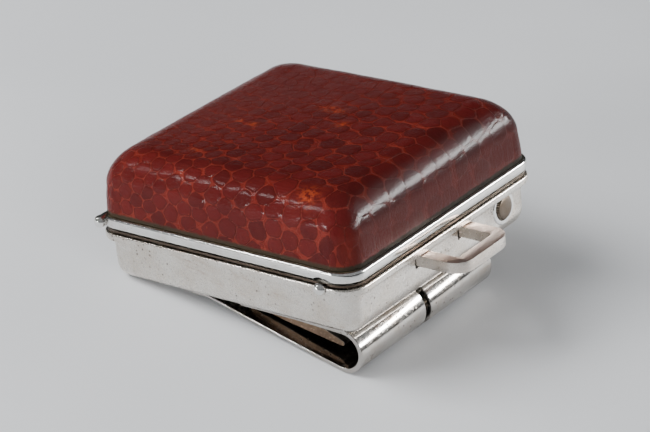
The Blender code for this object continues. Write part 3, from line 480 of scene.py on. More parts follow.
def leather_material():
    """Glazed reptile leather, from attributes on the mesh.

    edge is the way to the nearest crack, and disc the way in from the border of a scale's dark
    round middle, both in mm. tone differs from scale to scale. wear is 1 where the scales stand
    out most. foot is the height above the rim. face is 1 on the loop's side. scuff is 1 in the
    middle of a rubbed spot.
    """
    n = Nodes("oxblood_leather")
    names = ("edge", "disc", "tone", "wear", "foot", "face", "scuff")
    edge, disc, tone, wear, foot, face, scuff = map(n.attribute, names)
    fine = n.noise(1.7, 5, 0.65)
    soft = n.noise(0.7, 3, 0.6)
    grain = n.noise(6.0, 4, 0.7)
    cloud = n.noise(0.11, 3, 0.6)
    strokes = n.noise(1.5, 3, 0.65, (0.3, 2.4, 0.3, (0.0, 0.0, 0.15)))
    away = n.math("ADD", disc, n.product(n.math("SUBTRACT", fine, 0.5), 0.5))
    # Dark round middles in a lighter ground, which is plain where the leather isn't worn
    center = n.mix(tone, srgb(54, 15, 16), srgb(78, 21, 21))
    surround = n.mix(n.step(cloud, 0.38, 0.62), srgb(92, 30, 24), srgb(106, 37, 29))
    surround = n.mix(n.step(soft, 0.4, 0.65), surround, srgb(88, 26, 22))
    cell = n.product(n.step(away, -0.06, 0.32), n.step(wear, 0.0, 1.0, 0.3, 0.8))
    color = n.mix(cell, surround, center)
    color = n.mix(n.step(wear, 0.3, 0.8, 0.6, 0.0), color, srgb(78, 25, 22))
    # Pale cracks, dark rings, rubbed spots and specks
    line = n.product(n.step(edge, 0.02, 0.09, 1.0, 0.0), n.step(fine, 0.38, 0.6, 0.05, 0.9))
    line = n.product(line, n.step(wear, 0.0, 1.0, 0.35, 1.0))
    color = n.mix(n.product(line, 0.24), color, srgb(140, 70, 54))
    ring = n.product(n.step(away, 0.0, 0.1), n.step(away, 0.12, 0.3, 1.0, 0.0))
    color = n.mix(n.product(ring, n.step(wear, 0.0, 1.0, 0.1, 0.55)), color, srgb(46, 13, 13))
    rubbed = n.product(scuff, n.step(fine, 0.42, 0.62, 0.0, 0.75))
    color = n.mix(rubbed, color, srgb(158, 66, 36))
    specks = n.step(n.noise(3.3, 3, 0.6), 0.67, 0.76, 0.0, 0.4)
    color = n.mix(specks, color, srgb(164, 78, 52))
    # Painted light: the loop's side is mixed towards a lighter red, standing in for the light that
    # falls on that side
    color = n.mix(n.product(face, 0.4), color, srgb(122, 46, 38))
    # Dirt along the foot
    dirt = n.math("ADD", foot, n.product(n.math("SUBTRACT", fine, 0.5), 0.6))
    color = n.mix(n.step(dirt, 0.4, 0.75, 1.0, 0.0), color, srgb(50, 41, 30))
    dull = n.product(n.step(edge, 0.02, 0.2, 1.0, 0.0), 0.15)
    roughness = n.math("ADD", n.step(grain, 0.3, 0.75, 0.15, 0.26), dull)
    roughness = n.math("ADD", roughness, n.product(face, 0.1))
    roughness = n.math("ADD", roughness, n.step(dirt, 0.4, 0.8, 0.3, 0.0))
    # Fine relief under a thin glaze, which has a grain of its own
    lip = n.product(n.step(edge, 0.05, 0.13), n.step(edge, 0.13, 0.26, 1.0, 0.0))
    lip = n.product(lip, n.step(fine, 0.42, 0.62))
    height = n.math("ADD", n.product(fine, 0.55), n.product(grain, 0.3))
    height = n.math("ADD", height, n.product(strokes, 0.6))
    height = n.math("ADD", height, n.product(lip, 0.4))
    glaze = n.bump(n.noise(2.4, 4, 0.7), 0.00003, 0.7)
    n.set(Base_Color=color, Roughness=roughness, Normal=n.bump(height, 0.0002, 0.7))
    n.set(Specular_IOR_Level=0.04, Coat_Weight=0.13, Coat_Roughness=0.06, Coat_Normal=glaze)
    return n.material


def suede():
    """Napped brown suede."""
    n = Nodes("suede_lining")
    nap = n.noise(5.0, 4, 0.7)
    cloud = n.noise(0.25, 3, 0.6)
    base = n.mix(n.step(cloud, 0.35, 0.65), srgb(112, 62, 44), srgb(138, 82, 58))
    base = n.mix(n.step(nap, 0.5, 0.75, 0.0, 0.5), base, srgb(170, 112, 84))
    n.set(Base_Color=base, Roughness=0.9, Normal=n.bump(nap, 0.00006, 0.8))
    n.set(Sheen_Weight=0.5, Sheen_Roughness=0.4)
    return n.material


def plain_metal(name, tone, rough, streaks=0.5):
    """Bare metal with faint brushing and soft darker clouds."""
    n = Nodes(name)
    fine = n.noise(1.8, 4, 0.65, (1.0, 1.0, 3.0))
    cloud = n.noise(0.4, 3, 0.6)
    dark = tuple(max(value - 34, 0) for value in tone)
    base = n.mix(n.step(cloud, 0.35, 0.7, 0.0, streaks), srgb(*tone), srgb(*dark))
    roughness = n.step(fine, 0.3, 0.7, rough - 0.05, rough + 0.1)
    n.set(Base_Color=base, Metallic=1.0, Roughness=roughness, Normal=n.bump(fine, 0.000012, 0.5))
    return n.material


def dial_material():
    """A silvered dial, yellowed in soft clouds."""
    n = Nodes("silvered_dial")
    grain = n.noise(7.0, 3, 0.6)
    cloud = n.noise(0.12, 3, 0.5)
    base = n.mix(n.step(cloud, 0.4, 0.7), srgb(232, 229, 220), srgb(222, 214, 196))
    n.set(Base_Color=base, Metallic=0.25, Roughness=n.step(grain, 0.3, 0.7, 0.42, 0.56))
    n.set(Normal=n.bump(grain, 0.000008, 0.5))
    return n.material


def print_ink():
    """Black ink."""
    n = Nodes("dial_print")
    fine = n.noise(4.0, 3, 0.6)
    base = n.mix(n.step(fine, 0.4, 0.6), srgb(28, 27, 28), srgb(40, 38, 38))
    n.set(Base_Color=base, Roughness=0.5)
    return n.material


def blued_steel():
    """Heat-blued steel."""
    n = Nodes("blued_steel")
    cloud = n.noise(0.6, 3, 0.5)
    base = n.mix(n.step(cloud, 0.35, 0.65), srgb(34, 52, 132), srgb(52, 66, 150))
    n.set(Base_Color=base, Metallic=1.0, Roughness=n.step(cloud, 0.3, 0.7, 0.16, 0.24))
    return n.material


def glass():
    """Clear glass with a trace of haze."""
    n = Nodes("watch_glass")
    haze = n.noise(0.8, 3, 0.6)
    n.set(Base_Color=srgb(250, 252, 252), Transmission_Weight=1.0, IOR=1.45)
    n.set(Roughness=n.step(haze, 0.4, 0.75, 0.01, 0.035))
    return n.material


def table():
    """A plain pale ground."""
    n = Nodes("table")
    cloud = n.noise(0.012, 3, 0.5)
    base = n.mix(n.step(cloud, 0.35, 0.65), srgb(224, 226, 229), srgb(218, 220, 223))
    n.set(Base_Color=base, Roughness=0.62, Specular_IOR_Level=0.3)
    return n.material


NICKEL = satin_nickel()
CLIP_NICKEL = satin_nickel("clip_nickel", (178, 175, 171), 0.15, 0.9, 0.4, 0.2)
LOOP_NICKEL = satin_nickel("loop_nickel", (216, 209, 202), 0.3, 0.15, 0.2, 0.01)
LOOP_WORN = satin_nickel("loop_worn_top", (176, 160, 152), 0.34, 0.15, 0.3, 0.01)
CROWN_NICKEL = satin_nickel("crown_nickel", (106, 97, 88), 0.42, 0.6, 0.6)
SHELL_NICKEL = satin_nickel("shell_nickel", (214, 209, 200), 0.3, 0.2, 0.2)
CHROME = chrome()
OXIDE = oxidised()
EDGE = coppery_edge()
GRIME = grime()
LEATHER = leather_material()
SUEDE = suede()
STEEL = plain_metal("spring_steel", (190, 190, 190), 0.28)
# The frame plate's edge shows in the gap between the rim and the tray: its dark brown is painted
# shade for that gap
GAP_SHADE_PLATE = plain_metal("frame_plate_gap_shade", (92, 80, 70), 0.32)
TONGUE = plain_metal("tongue_nickel", (168, 162, 154), 0.34, 0.8)
BRASS = plain_metal("gilt_brass", (206, 168, 96), 0.3)
DIAL = dial_material()
INK = print_ink()
BLUED = blued_steel()
GLASS = glass()


# Leather cover


def dome_profile(low, high, edge=5.2, draft=0.3, crown=0.7):
    """(inset, height) from the foot of the dome up its wall and round its edge, in mm."""
    side = high - crown - edge
    steps = 30
    lean = draft * np.linspace(0, 1, steps) ** 1.5
    wall = list(zip(lean, np.linspace(low, side, steps)))
    turn = [(draft + edge * (1 - cos(t)), side + edge * sin(t)) for t in np.linspace(0, pi / 2, 64)]
    return np.array(wall + turn)


def resampled(points, step, end_inset):
    """Insets, heights and lengths at even steps, run on along the flat top to a given inset."""
    points = np.vstack([points, [end_inset, points[-1, 1]]])
    length = np.concatenate([[0], np.cumsum(np.linalg.norm(np.diff(points, axis=0), axis=1))])
    count = int(length[-1] / step)
    at = np.linspace(0, length[-1], count)
    return np.interp(at, length, points[:, 0]), np.interp(at, length, points[:, 1]), at


def ring_points(half_x, half_y, radius, shares):
    """A ring whose eight stretches hold a fixed number of points each, starting on the +X side."""
    flat_x, flat_y = half_x - radius, half_y - radius
    points, normals = [], []
    corners = ((flat_x, flat_y), (-flat_x, flat_y), (-flat_x, -flat_y), (flat_x, -flat_y))
    for k, (cx, cy) in enumerate(corners):
        before = corners[k - 1]
        t = np.linspace(0, 1, shares[2 * k], endpoint=False)[:, None]
        direction = np.array([cos(pi / 2 * k), sin(pi / 2 * k)])
        start = np.array(before) + direction * radius
        end = np.array((cx, cy)) + direction * radius
        points.append(start + (end - start) * t)
        normals.append(np.repeat(direction[None], len(t), 0))
        a = pi / 2 * (k + np.linspace(0, 1, shares[2 * k + 1], endpoint=False))
        around = np.stack([np.cos(a), np.sin(a)], 1)
        points.append(np.array((cx, cy)) + around * radius)
        normals.append(around)
    return np.vstack(points), np.vstack(normals)


def scale_centers(half, rng):
    """Staggered, evened-out scale centres over the unfolded cover, wider apart by the loop."""
    def spacing(u):
        return np.interp(u, [-22, -8, 8, 22, 28], [2.1, 2.5, 2.95, 3.3, 3.7])

    centers = []
    u, column = -half, 0
    while u < half:
        gap = float(spacing(u))
        for v in np.arange(-half, half, gap * 1.02):
            centers.append((u, v + (column % 2) * gap * 0.5))
        u += gap * 0.88
        column += 1
    centers = np.array(centers)
    centers += rng.normal(0, 0.15, centers.shape) * spacing(centers[:, :1])
    grid = np.linspace(-half, half, 260)
    samples = np.stack(np.meshgrid(grid, grid), -1).reshape(-1, 2)
    for _ in range(2):
        nearest = nearest_center(samples, centers)[0]
        sums = np.zeros_like(centers)
        np.add.at(sums, nearest, samples)
        count = np.bincount(nearest, minlength=len(centers))[:, None]
        moved = sums / np.maximum(count, 1)
        centers = np.where(count > 0, centers * 0.5 + moved * 0.5, centers)
    return centers


def nearest_center(points, centers, block=4000):
    """For each point the nearest centre's index, the way to its cell's border and to the centre."""
    first, border, inner = [], [], []
    for i in range(0, len(points), block):
        part = points[i : i + block].astype(np.float32)
        gap = part[:, None] - centers[None].astype(np.float32)
        square = (gap**2).sum(2)
        near = np.argpartition(square, 2, axis=1)[:, :3]
        values = np.take_along_axis(square, near, 1)
        order = np.argsort(values, axis=1)
        near = np.take_along_axis(near, order, 1)
        values = np.take_along_axis(values, order, 1)
        edge = np.full(len(part), 9.0, np.float32)
        for k in (1, 2):
            apart = np.linalg.norm(centers[near[:, 0]] - centers[near[:, k]], axis=1)
            edge = np.minimum(edge, (values[:, k] - values[:, 0]) / (2 * np.maximum(apart, 0.01)))
        first.append(near[:, 0])
        border.append(edge)
        inner.append(np.sqrt(values[:, 0]))
    return np.concatenate(first), np.concatenate(border), np.concatenate(inner)


def smooth_noise(points, scale, rng, octaves=3):
    """Sums of sines in random directions: a smooth, repeatable noise from -1 to 1."""
    total, weight = np.zeros(len(points)), 0.0
    for octave in range(octaves):
        for _ in range(6):
            direction = rng.normal(0, 1, points.shape[1])
            direction *= scale * 2**octave / np.linalg.norm(direction)
            total += np.sin(points @ direction + rng.uniform(0, 2 * pi)) / 2**octave
        weight += 6 * 0.5 / 2**octave
    return total / weight


def soft_step(values, low, high):
    t = np.clip((values - low) / (high - low), 0, 1)
    return t * t * (3 - 2 * t)


def make_leather():
    """The leather cover: a dense skin over the lid with raised scales, creases and wrinkles."""
    rng = np.random.default_rng(SEED)
    low, high = local_box("lid_leather")
    half_x, half_y = (high[0] - low[0]) / 2, (high[1] - low[1]) / 2
    coarse = 0.15
    insets, heights, along = resampled(dome_profile(low[2], high[2]), coarse, half_y - 0.12)
    corner = 3.4
    shares = []
    bend = corner * pi / 2
    for length in (2 * (half_y - corner), bend, 2 * (half_x - corner), bend) * 2:
        shares.append(max(8, int(length / coarse)))
    # Every ring has a second place, unfolded into the plane, so that the scales keep their size
    rings, flats = [], []
    top_start = 5.5
    for inset, s in zip(insets, along):
        hx, hy = half_x - inset, half_y - inset
        radius = min(max(corner - 0.15 * inset, 0.8), hy * 0.9)
        points, normals = ring_points(hx, hy, radius, shares)
        rings.append(points)
        reach = np.interp(top_start, insets, along) - s
        slack = max(reach - (top_start - inset), 0.0) if inset < top_start else 0.0
        flats.append(points + normals * slack)
    count = len(rings[0])
    plan = np.vstack(rings)
    flat = np.vstack(flats)
    z = np.repeat(heights, count)
    crown_height = 0.55
    crown = crown_height * (1 - (plan[:, 0] / half_x) ** 2) * (1 - (plan[:, 1] / half_y) ** 2)
    z = z + crown * soft_step(z, high[2] - 3.5, high[2] - 0.7)
    points = np.column_stack([plan, z])
    # The unfolded place wavers a little, so that rows of scales don't run dead straight
    spread = flat
    for scale, octaves, amount in ((0.12, 1, 0.9), (1.1, 2, 0.2), (3.5, 2, 0.045)):
        waver = [smooth_noise(flat, scale, rng, octaves) for _ in range(2)]
        spread = spread + np.stack(waver, 1) * amount
    centers = scale_centers(34.0, rng)
    cell, edge, inner = nearest_center(spread, centers)
    reach = np.zeros(len(centers))
    np.maximum.at(reach, cell, edge)
    disc = np.minimum(edge, reach[cell] * 1.12 - inner)
    strength = 0.35 + 0.65 * soft_step(plan[:, 0] * 0.75 - plan[:, 1] * 0.65, -14, 12)
    foot = z - low[2]
    # Raised scales with fine grooves between them, and slack wrinkles in the skin
    scale_height, groove_depth, groove_width, skin_offset = 0.05, 0.04, 0.09, 0.08
    raised = scale_height * (1 - np.exp(-np.maximum(disc, 0) / 0.3))
    raised -= groove_depth * np.exp(-((edge / groove_width) ** 2))
    tilt = rng.normal(0, 0.012, len(centers))[cell]
    relief = (raised + tilt * soft_step(edge, 0.0, 0.5)) * strength
    relief += 0.022 * smooth_noise(points, 1.6, rng, 3) + 0.03 * smooth_noise(points, 0.35, rng, 2)
    # Smooth at the foot, and smoother on the loop's side
    relief *= soft_step(foot, 0.0, 1.2)
    relief *= 1 - 0.55 * soft_step(plan[:, 0], half_x - 6.5, half_x - 3.5)
    normals = grid_normals(points.reshape(len(rings), count, 3))
    points = points + normals * (relief - skin_offset)[:, None]
    rubbed = (
        ((1.0, 4.3), (2.0, 0.9)),
        ((5.4, 0.5), (0.9, 0.9)),
        ((-6.5, -4.4), (0.7, 0.6)),
        ((-9.0, -4.2), (0.6, 0.5)),
        ((-8.6, -14.6), (0.8, 0.6)),
        ((14.0, -18.5), (1.4, 1.2)),
    )
    scuffs = np.zeros(len(points))
    for center, size in rubbed:
        away = ((plan - center) / size) ** 2
        scuffs = np.maximum(scuffs, np.exp(-away.sum(1)))
    faces = grid_faces(len(rings), count)
    faces.append(tuple(range(len(points) - count, len(points))))
    side = soft_step(plan[:, 0], half_x - 2.5, half_x - 0.6)
    attributes = {
        "edge": edge,
        "disc": disc,
        "tone": rng.uniform(0, 1, len(centers))[cell],
        "wear": strength,
        "foot": foot,
        "scuff": scuffs,
        # face marks the loop's side, where the material paints in a lighter red as light on that
        # side
        "face": side * soft_step(-z, -(high[2] - 3.5), -(high[2] - 6.0)),
    }
    mesh = mesh_from("leather_cover", points, faces, attributes)
    add_piece("leather_cover", mesh, "lid", [LEATHER], ["lid_leather"], 180)


def grid_normals(grid):
    """Outward normals of a grid that closes round its second axis."""
    up = np.gradient(grid, axis=0)
    around = (np.roll(grid, -1, 1) - np.roll(grid, 1, 1)) / 2
    normal = np.cross(around, up)
    length = np.linalg.norm(normal, axis=2, keepdims=True)
    return (normal / np.maximum(length, 1e-9)).reshape(-1, 3)


def grid_faces(rings, count):
    index = np.arange(rings * count).reshape(rings, count)
    lower, upper = index[:-1], index[1:]
    faces = np.stack([lower, np.roll(lower, -1, 1), np.roll(upper, -1, 1), upper], -1)
    return faces.reshape(-1, 4).tolist()


# Rim, tray and clip


def make_rim():
    """The chrome frame round the lid's foot, cut back along the hinge and arched over the pins."""
    low, high = local_box("lid_rim")
    half_x, half_y = high[0], high[1]
    bottom, top = low[2], high[2]
    bulge, rim_depth = 0.14, 3.4
    section = [(rim_depth, bottom), (0.5, bottom)]
    for t in np.linspace(-1, 1, 15):
        inset = bulge * t * t + 0.24 * max(0.0, (abs(t) - 0.72) / 0.28) ** 2.2
        section.append((inset, (bottom + top) / 2 + t * (top - bottom) / 2))
    section += [(0.6, top), (rim_depth, top)]
    mesh = swept_mesh("lid_rim_bright", section, half_x, half_y, 0.6, closed_section=True)
    pivot = local_place("lid_hinge")
    catch = local_place("catch_swing")
    knuckle_room, arch_radius = 0.95, 1.6
    cutters = [box_mesh("cut", (-30, -30, bottom - 1), (pivot.x + knuckle_room, 30, top + 1))]
    for side in (-1, 1):
        profile = [(arch_radius, side * half_y - 1.2), (arch_radius, side * half_y + 1.2)]
        cutters.append(turned_mesh("cut", profile, (catch.x, 0, catch.z), "Y", 40))
    mesh = carved(mesh, cutters, 0.08, 2, 50)
    looks = [CHROME, GRIME]
    piece = add_piece("lid_rim_bright", mesh, "lid", looks, ["lid_rim"], 35)
    # Dirt lies on the rim's upper face, between its bright edge and the leather
    for polygon in piece.data.polygons:
        center = TO_CASE @ polygon.center
        inset = min(half_x - abs(center.x), half_y - abs(center.y))
        if (TO_CASE_TURN @ polygon.normal).z > 0.93 and center.z > top - 0.1 and inset > 0.24:
            polygon.material_index = 1


def make_tray():
    """The pressed tray: a smooth pan with a flange, slots for the loop and a hole for the cup."""
    half_x, half_y, top = local_box("case_tray")[1]
    step, wall, fillet, flange = 1.1, TRAY_WALL, 2.7, 1.15
    section = [(step + fillet + 2.0, 0.0)]
    section += arc((step + fillet, fillet), fillet, 270, 180, 12)
    under = top - flange
    section += arc((step - 0.3, under - 0.3), 0.3, 0, 90, 4)
    section += arc((0.32, under + 0.32), 0.32, 270, 180, 6)
    section += arc((0.22, top - 0.22), 0.22, 180, 90, 5)
    section += [(step + wall, top)]
    section += arc((step + fillet, fillet), fillet - wall, 180, 270, 6)
    section += [(step + fillet + 2.0, wall)]
    mesh = swept_mesh("case_tray_smooth", section, half_x, half_y, 0.7)
    wall_x = half_x - step
    loop_low, loop_high = local_box("thumb_loop")
    half_slot = LOOP_BAR / 2 + 0.12
    cutters = []
    for y in (loop_low[1] + LOOP_BAR / 2, loop_high[1] - LOOP_BAR / 2):
        slot_low = (wall_x - wall - 0.6, y - half_slot, loop_low[2] - 0.5)
        slot_high = (wall_x + 0.5, y + half_slot, loop_high[2] + 0.02)
        cutters.append(box_mesh("cut", slot_low, slot_high))
    cup_low, cup_high = local_box("crown_cup")
    cup_y, cup_z = (cup_low[1] + cup_high[1]) / 2, (cup_low[2] + cup_high[2]) / 2
    hole_radius = 2.35
    profile = [(hole_radius, wall_x - 1.5), (hole_radius, wall_x + 0.02)]
    cutters.append(turned_mesh("cut", profile, (0, cup_y, cup_z), "X", 48))
    mesh = carved(mesh, cutters, 0.07, 2, 50)
    add_piece("case_tray_smooth", mesh, "case", [NICKEL], ["case_tray"], 35)


def clip_line():
    """The strip's centreline in the XZ plane, from its fixed end round the roll to the leaf's tip.

    It comes with the leaf's slope, the flex joint's place and the middle of the roll.
    """
    thick = STRIP_THICKNESS
    strap_low, strap_high = local_box("clip_strap")
    leaf_low, _ = local_box("clip_leaf")
    flex = local_place("clip_flex")
    roll_x, roll_z = strap_high[0] - ROLL_RADIUS, strap_low[2] + ROLL_RADIUS
    slope = atan2(roll_x - flex.x, roll_z - flex.z)
    height, strap_end = strap_high[2] - thick / 2, 9.0
    line = [(strap_low[0], height), (strap_end, height)]
    line += arc((roll_x, roll_z), ROLL_RADIUS - thick / 2, 88, -90 - degrees(slope), 44)
    along = np.array((-cos(slope), sin(slope)))
    root = np.array(line[-1])
    straight = 22.6
    for reach in np.linspace(1.0, straight, 12):
        line.append(tuple(root + along * reach))
    point = np.array(line[-1])
    for share in np.linspace(0.85, 0.0, 7):
        angle = slope * share
        point = point + np.array((-cos(angle), sin(angle))) * 0.26
        line.append(tuple(point))
    line.append((leaf_low[0] + 0.05, point[1]))
    return line, slope, flex, (roll_x, roll_z)


def make_clip():
    """The clip: one strip, rolled and slotted."""
    line, slope, flex, roll = clip_line()
    low, high = local_box("clip_strap")
    # The strip thins past the roll's foot, where the leaf's points begin
    leaf_points = 20
    reach = np.arange(len(line)) - (len(line) - leaf_points)
    thinning = (STRIP_THICKNESS - LEAF_THICKNESS) * soft_step(reach.astype(float), -3, 7)
    outline = strip_outline(line, STRIP_THICKNESS, STRIP_THICKNESS - thinning)
    mesh = prism_mesh("spring_clip", [tuple(p) for p in outline], low[1], high[1])
    # Faces 0 and 1 are the sheared edges, then come the bright outside and the dark inside
    count = len(line)
    for polygon in mesh.polygons:
        index = polygon.index - 2
        if index < 0:
            polygon.material_index = 2
        elif count <= index < 2 * count - 1:
            polygon.material_index = 1
    middle = (low[1] + high[1]) / 2
    half_slot, below = 0.6, -9.0
    near, far = middle - half_slot, middle + half_slot
    slot_roll = box_mesh("cut", (roll[0] - 0.2, near, below), (roll[0] + 4.0, far, 0.3))
    slot_leaf = box_mesh("cut", (flex.x - 5.0, near, below), (roll[0], far, roll[1] + 0.4))
    mesh = carved(mesh, [slot_roll, slot_leaf], 0.11, 3, 45)
    looks = [CLIP_NICKEL, OXIDE, EDGE]
    nodes = ["clip_strap", "clip_leaf"]
    piece = add_piece("spring_clip", mesh, None, looks, nodes, 40)
    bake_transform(piece)


def make_small_parts():
    """Copies of the CAD's metal pieces with rounded edges that catch the light."""
    jobs = (
        ("frame_plate", "case", "spring_steel", GAP_SHADE_PLATE, 0.08),
        ("thumb_loop", "catch_lever", "satin_nickel", LOOP_NICKEL, 0.15),
        ("catch_beak", "catch_lever", "spring_steel", STEEL, 0.08),
        ("clip_tongue", "case", "satin_nickel", TONGUE, 0.1),
        ("lid_keeper", "lid", "spring_steel", STEEL, 0.1),
        *((f"lid_knuckle_{i}", "lid", "bright_chrome", CHROME, 0.07) for i in (1, 2, 3)),
        *((f"case_knuckle_{i}", "case", "bright_chrome", CHROME, 0.07) for i in (1, 2)),
        ("crystal_bezel", "case", "bright_chrome", CHROME, 0.1),
        ("movement", "case", "gilt_brass", BRASS, 0.25),
    )
    for node, body, slot, material, bevel in jobs:
        add_piece(node + "_fine", refined_mesh(node, bevel), body, [material], [node], 40)
    # The frame plate's face is bright, and its edge, which shows in the gap under the rim, is
    # painted dark for the shade in that gap. The tongue's sides are oxidised, and the loop is worn
    # on top and below
    faces = (
        ("frame_plate_fine", 2, SHELL_NICKEL),
        ("clip_tongue_fine", 1, OXIDE),
        ("thumb_loop_fine", 2, LOOP_WORN),
    )
    for name, axis, material in faces:
        mesh = bpy.data.objects[name].data
        mesh.materials.append(material)
        for polygon in mesh.polygons:
            if abs((TO_CASE_TURN @ polygon.normal)[axis]) > 0.93:
                polygon.material_index = 1


def make_lining():
    """The lid's suede lining, a copy of the CAD's sheet with its edges rounded."""
    mesh = refined_mesh("lid_lining", 0.1, 2, 25)
    add_piece("lining_suede", mesh, "lid", [SUEDE], ["lid_lining"], 40)


def make_pins():
    """The hinge pin and the catch pin, with smooth domed heads."""
    for node, radius, name in (("hinge_pin", 0.4, "lid_hinge"), ("catch_pin", 0.35, "catch_swing")):
        place = local_place(name)
        head, rise = 0.9, 0.8
        neck = local_box(node)[1][1] - rise
        dome = [(head * sin(t), neck + rise * cos(t)) for t in np.linspace(0.01, pi / 2, 12)]
        if node == "hinge_pin":
            dome += [(head - 0.04, neck - 0.04), (head - 0.12, neck - 0.08)]
        else:
            dome += [(head, neck)]
        far_dome = [(r, -h) for r, h in reversed(dome)]
        profile = dome + [(radius, neck), (radius, -neck)] + far_dome
        mesh = turned_mesh(node + "_fine", profile, (place.x, 0.0, place.z), "Y", 40)
        add_piece(node + "_fine", mesh, "case", [CHROME], [node], 40)


def make_crown():
    """The fluted crown in its bright cup."""
    low, high = local_box("crown")
    place = Vector((0.0, (low[1] + high[1]) / 2, (low[2] + high[2]) / 2))
    face, back, radius = high[0], low[0], (high[1] - low[1]) / 2
    profile = [(0.0, face), (radius * 0.55, face), (radius - 0.28, face - 0.03)]
    profile += [(radius - 0.12, face - 0.1), (radius, face - 0.26)]
    profile += [(radius, back + 0.1), (radius - 0.1, back), (0.0, back)]
    mesh = turned_mesh("crown_fluted", profile, place, "X", 240, 30, 0.13, radius - 0.05)
    add_piece("crown_fluted", mesh, "crown", [CROWN_NICKEL], ["crown"], 30)
    cup_low, cup_high = local_box("crown_cup")
    outer, bore = (cup_high[1] - cup_low[1]) / 2, radius + 0.12
    tube = outer - 0.35
    # The cup's mouth is set back a little, so that the crown's flutes show beside it
    mouth, foot = cup_high[0] - 0.4, cup_low[0]
    profile = [(bore, foot), (bore, mouth - 0.1), (bore + 0.08, mouth), (outer - 0.2, mouth)]
    profile += [(outer, mouth - 0.16), (outer, mouth - 0.34), (tube, mouth - 0.42), (tube, foot)]
    turns = [2 * pi * i / 72 for i in range(72)]
    rings = []
    for r, h in profile:
        rings.append([(h, place.y + r * cos(t), place.z + r * sin(t)) for t in turns])
    mesh = loft_mesh("crown_cup_bright", rings, closed_section=True)
    add_piece("crown_cup_bright", mesh, "case", [CHROME], ["crown_cup"], 35)


def make_dial_print():
    """A minute track, hour bars and generic hour numbers on the dial."""
    low, high = local_box("dial")
    x, y, z = (low[0] + high[0]) / 2, (low[1] + high[1]) / 2, high[2] + 0.01
    radius = (high[0] - low[0]) / 2
    lift = Vector((0, 0, 0.03))
    shape = bmesh.new()
    for i in range(60):
        t = 2 * pi * i / 60
        hour = i % 5 == 0
        inner, outer = radius * (0.83 if hour else 0.87), radius * 0.9
        half = 0.13 if hour else 0.05
        out, side = Vector((sin(t), cos(t), 0)), Vector((cos(t), -sin(t), 0))
        corners = []
        for reach, sign in ((inner, -1), (outer, -1), (outer, 1), (inner, 1)):
            corners.append(Vector((x, y, z)) + out * reach + side * half * sign)
        bottom = [shape.verts.new(CASE @ c) for c in corners]
        top = [shape.verts.new(CASE @ (c + lift)) for c in corners]
        shape.faces.new(bottom)
        shape.faces.new(top[::-1])
        for a in range(4):
            b = (a + 1) % 4
            shape.faces.new((bottom[a], top[a], top[b], bottom[b]))
    bmesh.ops.recalc_face_normals(shape, faces=shape.faces)
    mesh = mesh_from_shape("dial_track", shape)
    add_piece("dial_track", mesh, "case", [INK])
    for hour in range(1, 13):
        t = 2 * pi * hour / 12
        letters = bpy.data.curves.new(f"hour_{hour}", "FONT")
        letters.body = str(hour)
        letters.size = 0.0027
        letters.align_x = letters.align_y = "CENTER"
        letters.extrude = 0.000012
        letters.resolution_u = 4
        number = new_object(f"hour_{hour}", letters)
        reach = radius * 0.69
        spot = CASE @ Vector((x + sin(t) * reach, y + cos(t) * reach, z + 0.02))
        number.matrix_world = Matrix.Translation(spot) @ CASE_TURN.to_4x4()
        letters.materials.append(INK)
        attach(number, "case")


def dress_nodes():
    """Materials for the CAD nodes that stay as they are."""
    looks = {
        "dial": DIAL,
        "hour_hand": BLUED,
        "minute_hand": BLUED,
        "crystal": GLASS,
        "hand_post": STEEL,
        "lid_shell": SHELL_NICKEL,
        "winding_stem": STEEL,
    }
    for node, count in (("catch_spring", 2), ("clip_rivet", 2), ("frame_screw", 4)):
        looks.update({f"{node}_{i + 1}": STEEL for i in range(count)})
    for node, material in looks.items():
        obj = NODES[node]
        obj.data.materials.clear()
        obj.data.materials.append(material)


# Floor, light and camera


def make_floor():
    """A plain pale ground."""
    shape = bmesh.new()
    bmesh.ops.create_grid(shape, x_segments=1, y_segments=1, size=3.0)
    mesh = mesh_from_shape("floor", shape)
    mesh.materials.append(table())
    floor = new_object("floor", mesh)


def add_light(name, direction, distance, size, power, size_y=None, aim=(0, 0, 0.008)):
    """A soft panel that faces the object from a direction. Metres and watts."""
    data = bpy.data.lights.new(name, "AREA")
    data.energy = power
    data.shape = "RECTANGLE"
    data.size = size
    data.size_y = size_y or size
    light = new_object(name, data)
    direction = Vector(direction).normalized()
    light.location = Vector(aim) + direction * distance
    light.rotation_euler = (-direction).to_track_quat("-Z", "Y").to_euler()
    return light


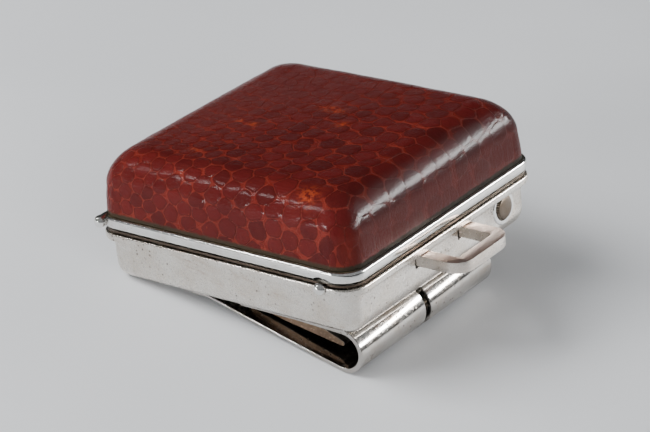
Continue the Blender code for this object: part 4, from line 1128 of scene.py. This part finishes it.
def light_scene():
    """A soft key and two fills, kept out of reflections, and small lights for the highlights."""
    world = bpy.data.worlds.new("studio")
    bpy.context.scene.world = world
    world.use_nodes = True
    tree = world.node_tree
    coords = tree.nodes.new("ShaderNodeTexCoord")
    parts = tree.nodes.new("ShaderNodeSeparateXYZ")
    tree.links.new(coords.outputs["Generated"], parts.inputs[0])
    toward = tree.nodes.new("ShaderNodeVectorMath")
    toward.operation = "DOT_PRODUCT"
    toward.inputs[1].default_value = Vector((-0.62, 0.70, 0.36)).normalized()
    tree.links.new(coords.outputs["Generated"], toward.inputs[0])
    # Dark behind the object on the left, and low down all round, where a studio's floor ends
    back_dark = smooth_step(tree, toward.outputs["Value"], 0.35, 0.9, 1.0, 0.15)
    low_dark = smooth_step(tree, parts.outputs["Z"], 0.02, 0.42, 0.05, 0.32)
    strength = tree.nodes.new("ShaderNodeMath")
    strength.operation = "MULTIPLY"
    tree.links.new(back_dark, strength.inputs[0])
    tree.links.new(low_dark, strength.inputs[1])
    background = tree.nodes["Background"]
    background.inputs["Color"].default_value = (0.94, 0.97, 1.0, 1.0)
    tree.links.new(strength.outputs[0], background.inputs["Strength"])
    soft = (
        ("key_left", (-0.64, -0.57, 0.88), 0.75, 0.42, 7.5),
        ("fill_right", (0.80, -0.38, 0.52), 0.8, 0.5, 1.9),
        ("fill_front_left", (-0.45, -0.87, 0.14), 0.7, 0.2, 3.4),
    )
    for values in soft:
        add_light(*values).visible_glossy = False
    # One highlight along the loop's side, one near the front corner and glints along the front
    corner = tuple(CASE @ Vector((18.5, -20.9, 16.0)))
    toward_corner = (-0.527, -0.845, 0.097)
    highlights = (
        add_light("strip_right", (0.614, 0.696, 0.40), 0.6, 0.5, 11.0, size_y=0.1),
        add_light("corner_spot", toward_corner, 0.12, 0.006, 0.045, size_y=0.012, aim=corner),
        add_light("glint_front", (-0.68, -0.46, 0.56), 0.8, 0.06, 1.0),
    )
    for light in highlights:
        light.visible_diffuse = False


def make_camera():
    """A long lens that looks down at the front corner, placed in the case's own frame."""
    azimuth, elevation, roll, distance = radians(39.74), radians(25.11), radians(-5.97), 370.5
    back = Vector((sin(azimuth) * cos(elevation), -cos(azimuth) * cos(elevation), sin(elevation)))
    data = bpy.data.cameras.new("camera")
    data.sensor_width, data.lens = 36, 145.1
    data.shift_x, data.shift_y = 0.0029, 0.0378
    data.clip_start, data.clip_end = 0.01, 10
    camera = new_object("camera", data)
    camera.location = CASE @ (Vector((0.27, 0.0, 1.36)) + back * distance)
    turn = (-back).to_track_quat("-Z", "Y").to_matrix() @ Matrix.Rotation(roll, 3, "Z")
    camera.rotation_mode = "QUATERNION"
    camera.rotation_quaternion = (CASE_TURN @ turn).to_quaternion()
    bpy.context.scene.camera = camera


make_floor()
light_scene()
make_camera()
dress_nodes()
make_leather()
make_rim()
make_tray()
make_clip()
make_small_parts()
make_lining()
make_pins()
make_crown()
make_dial_print()
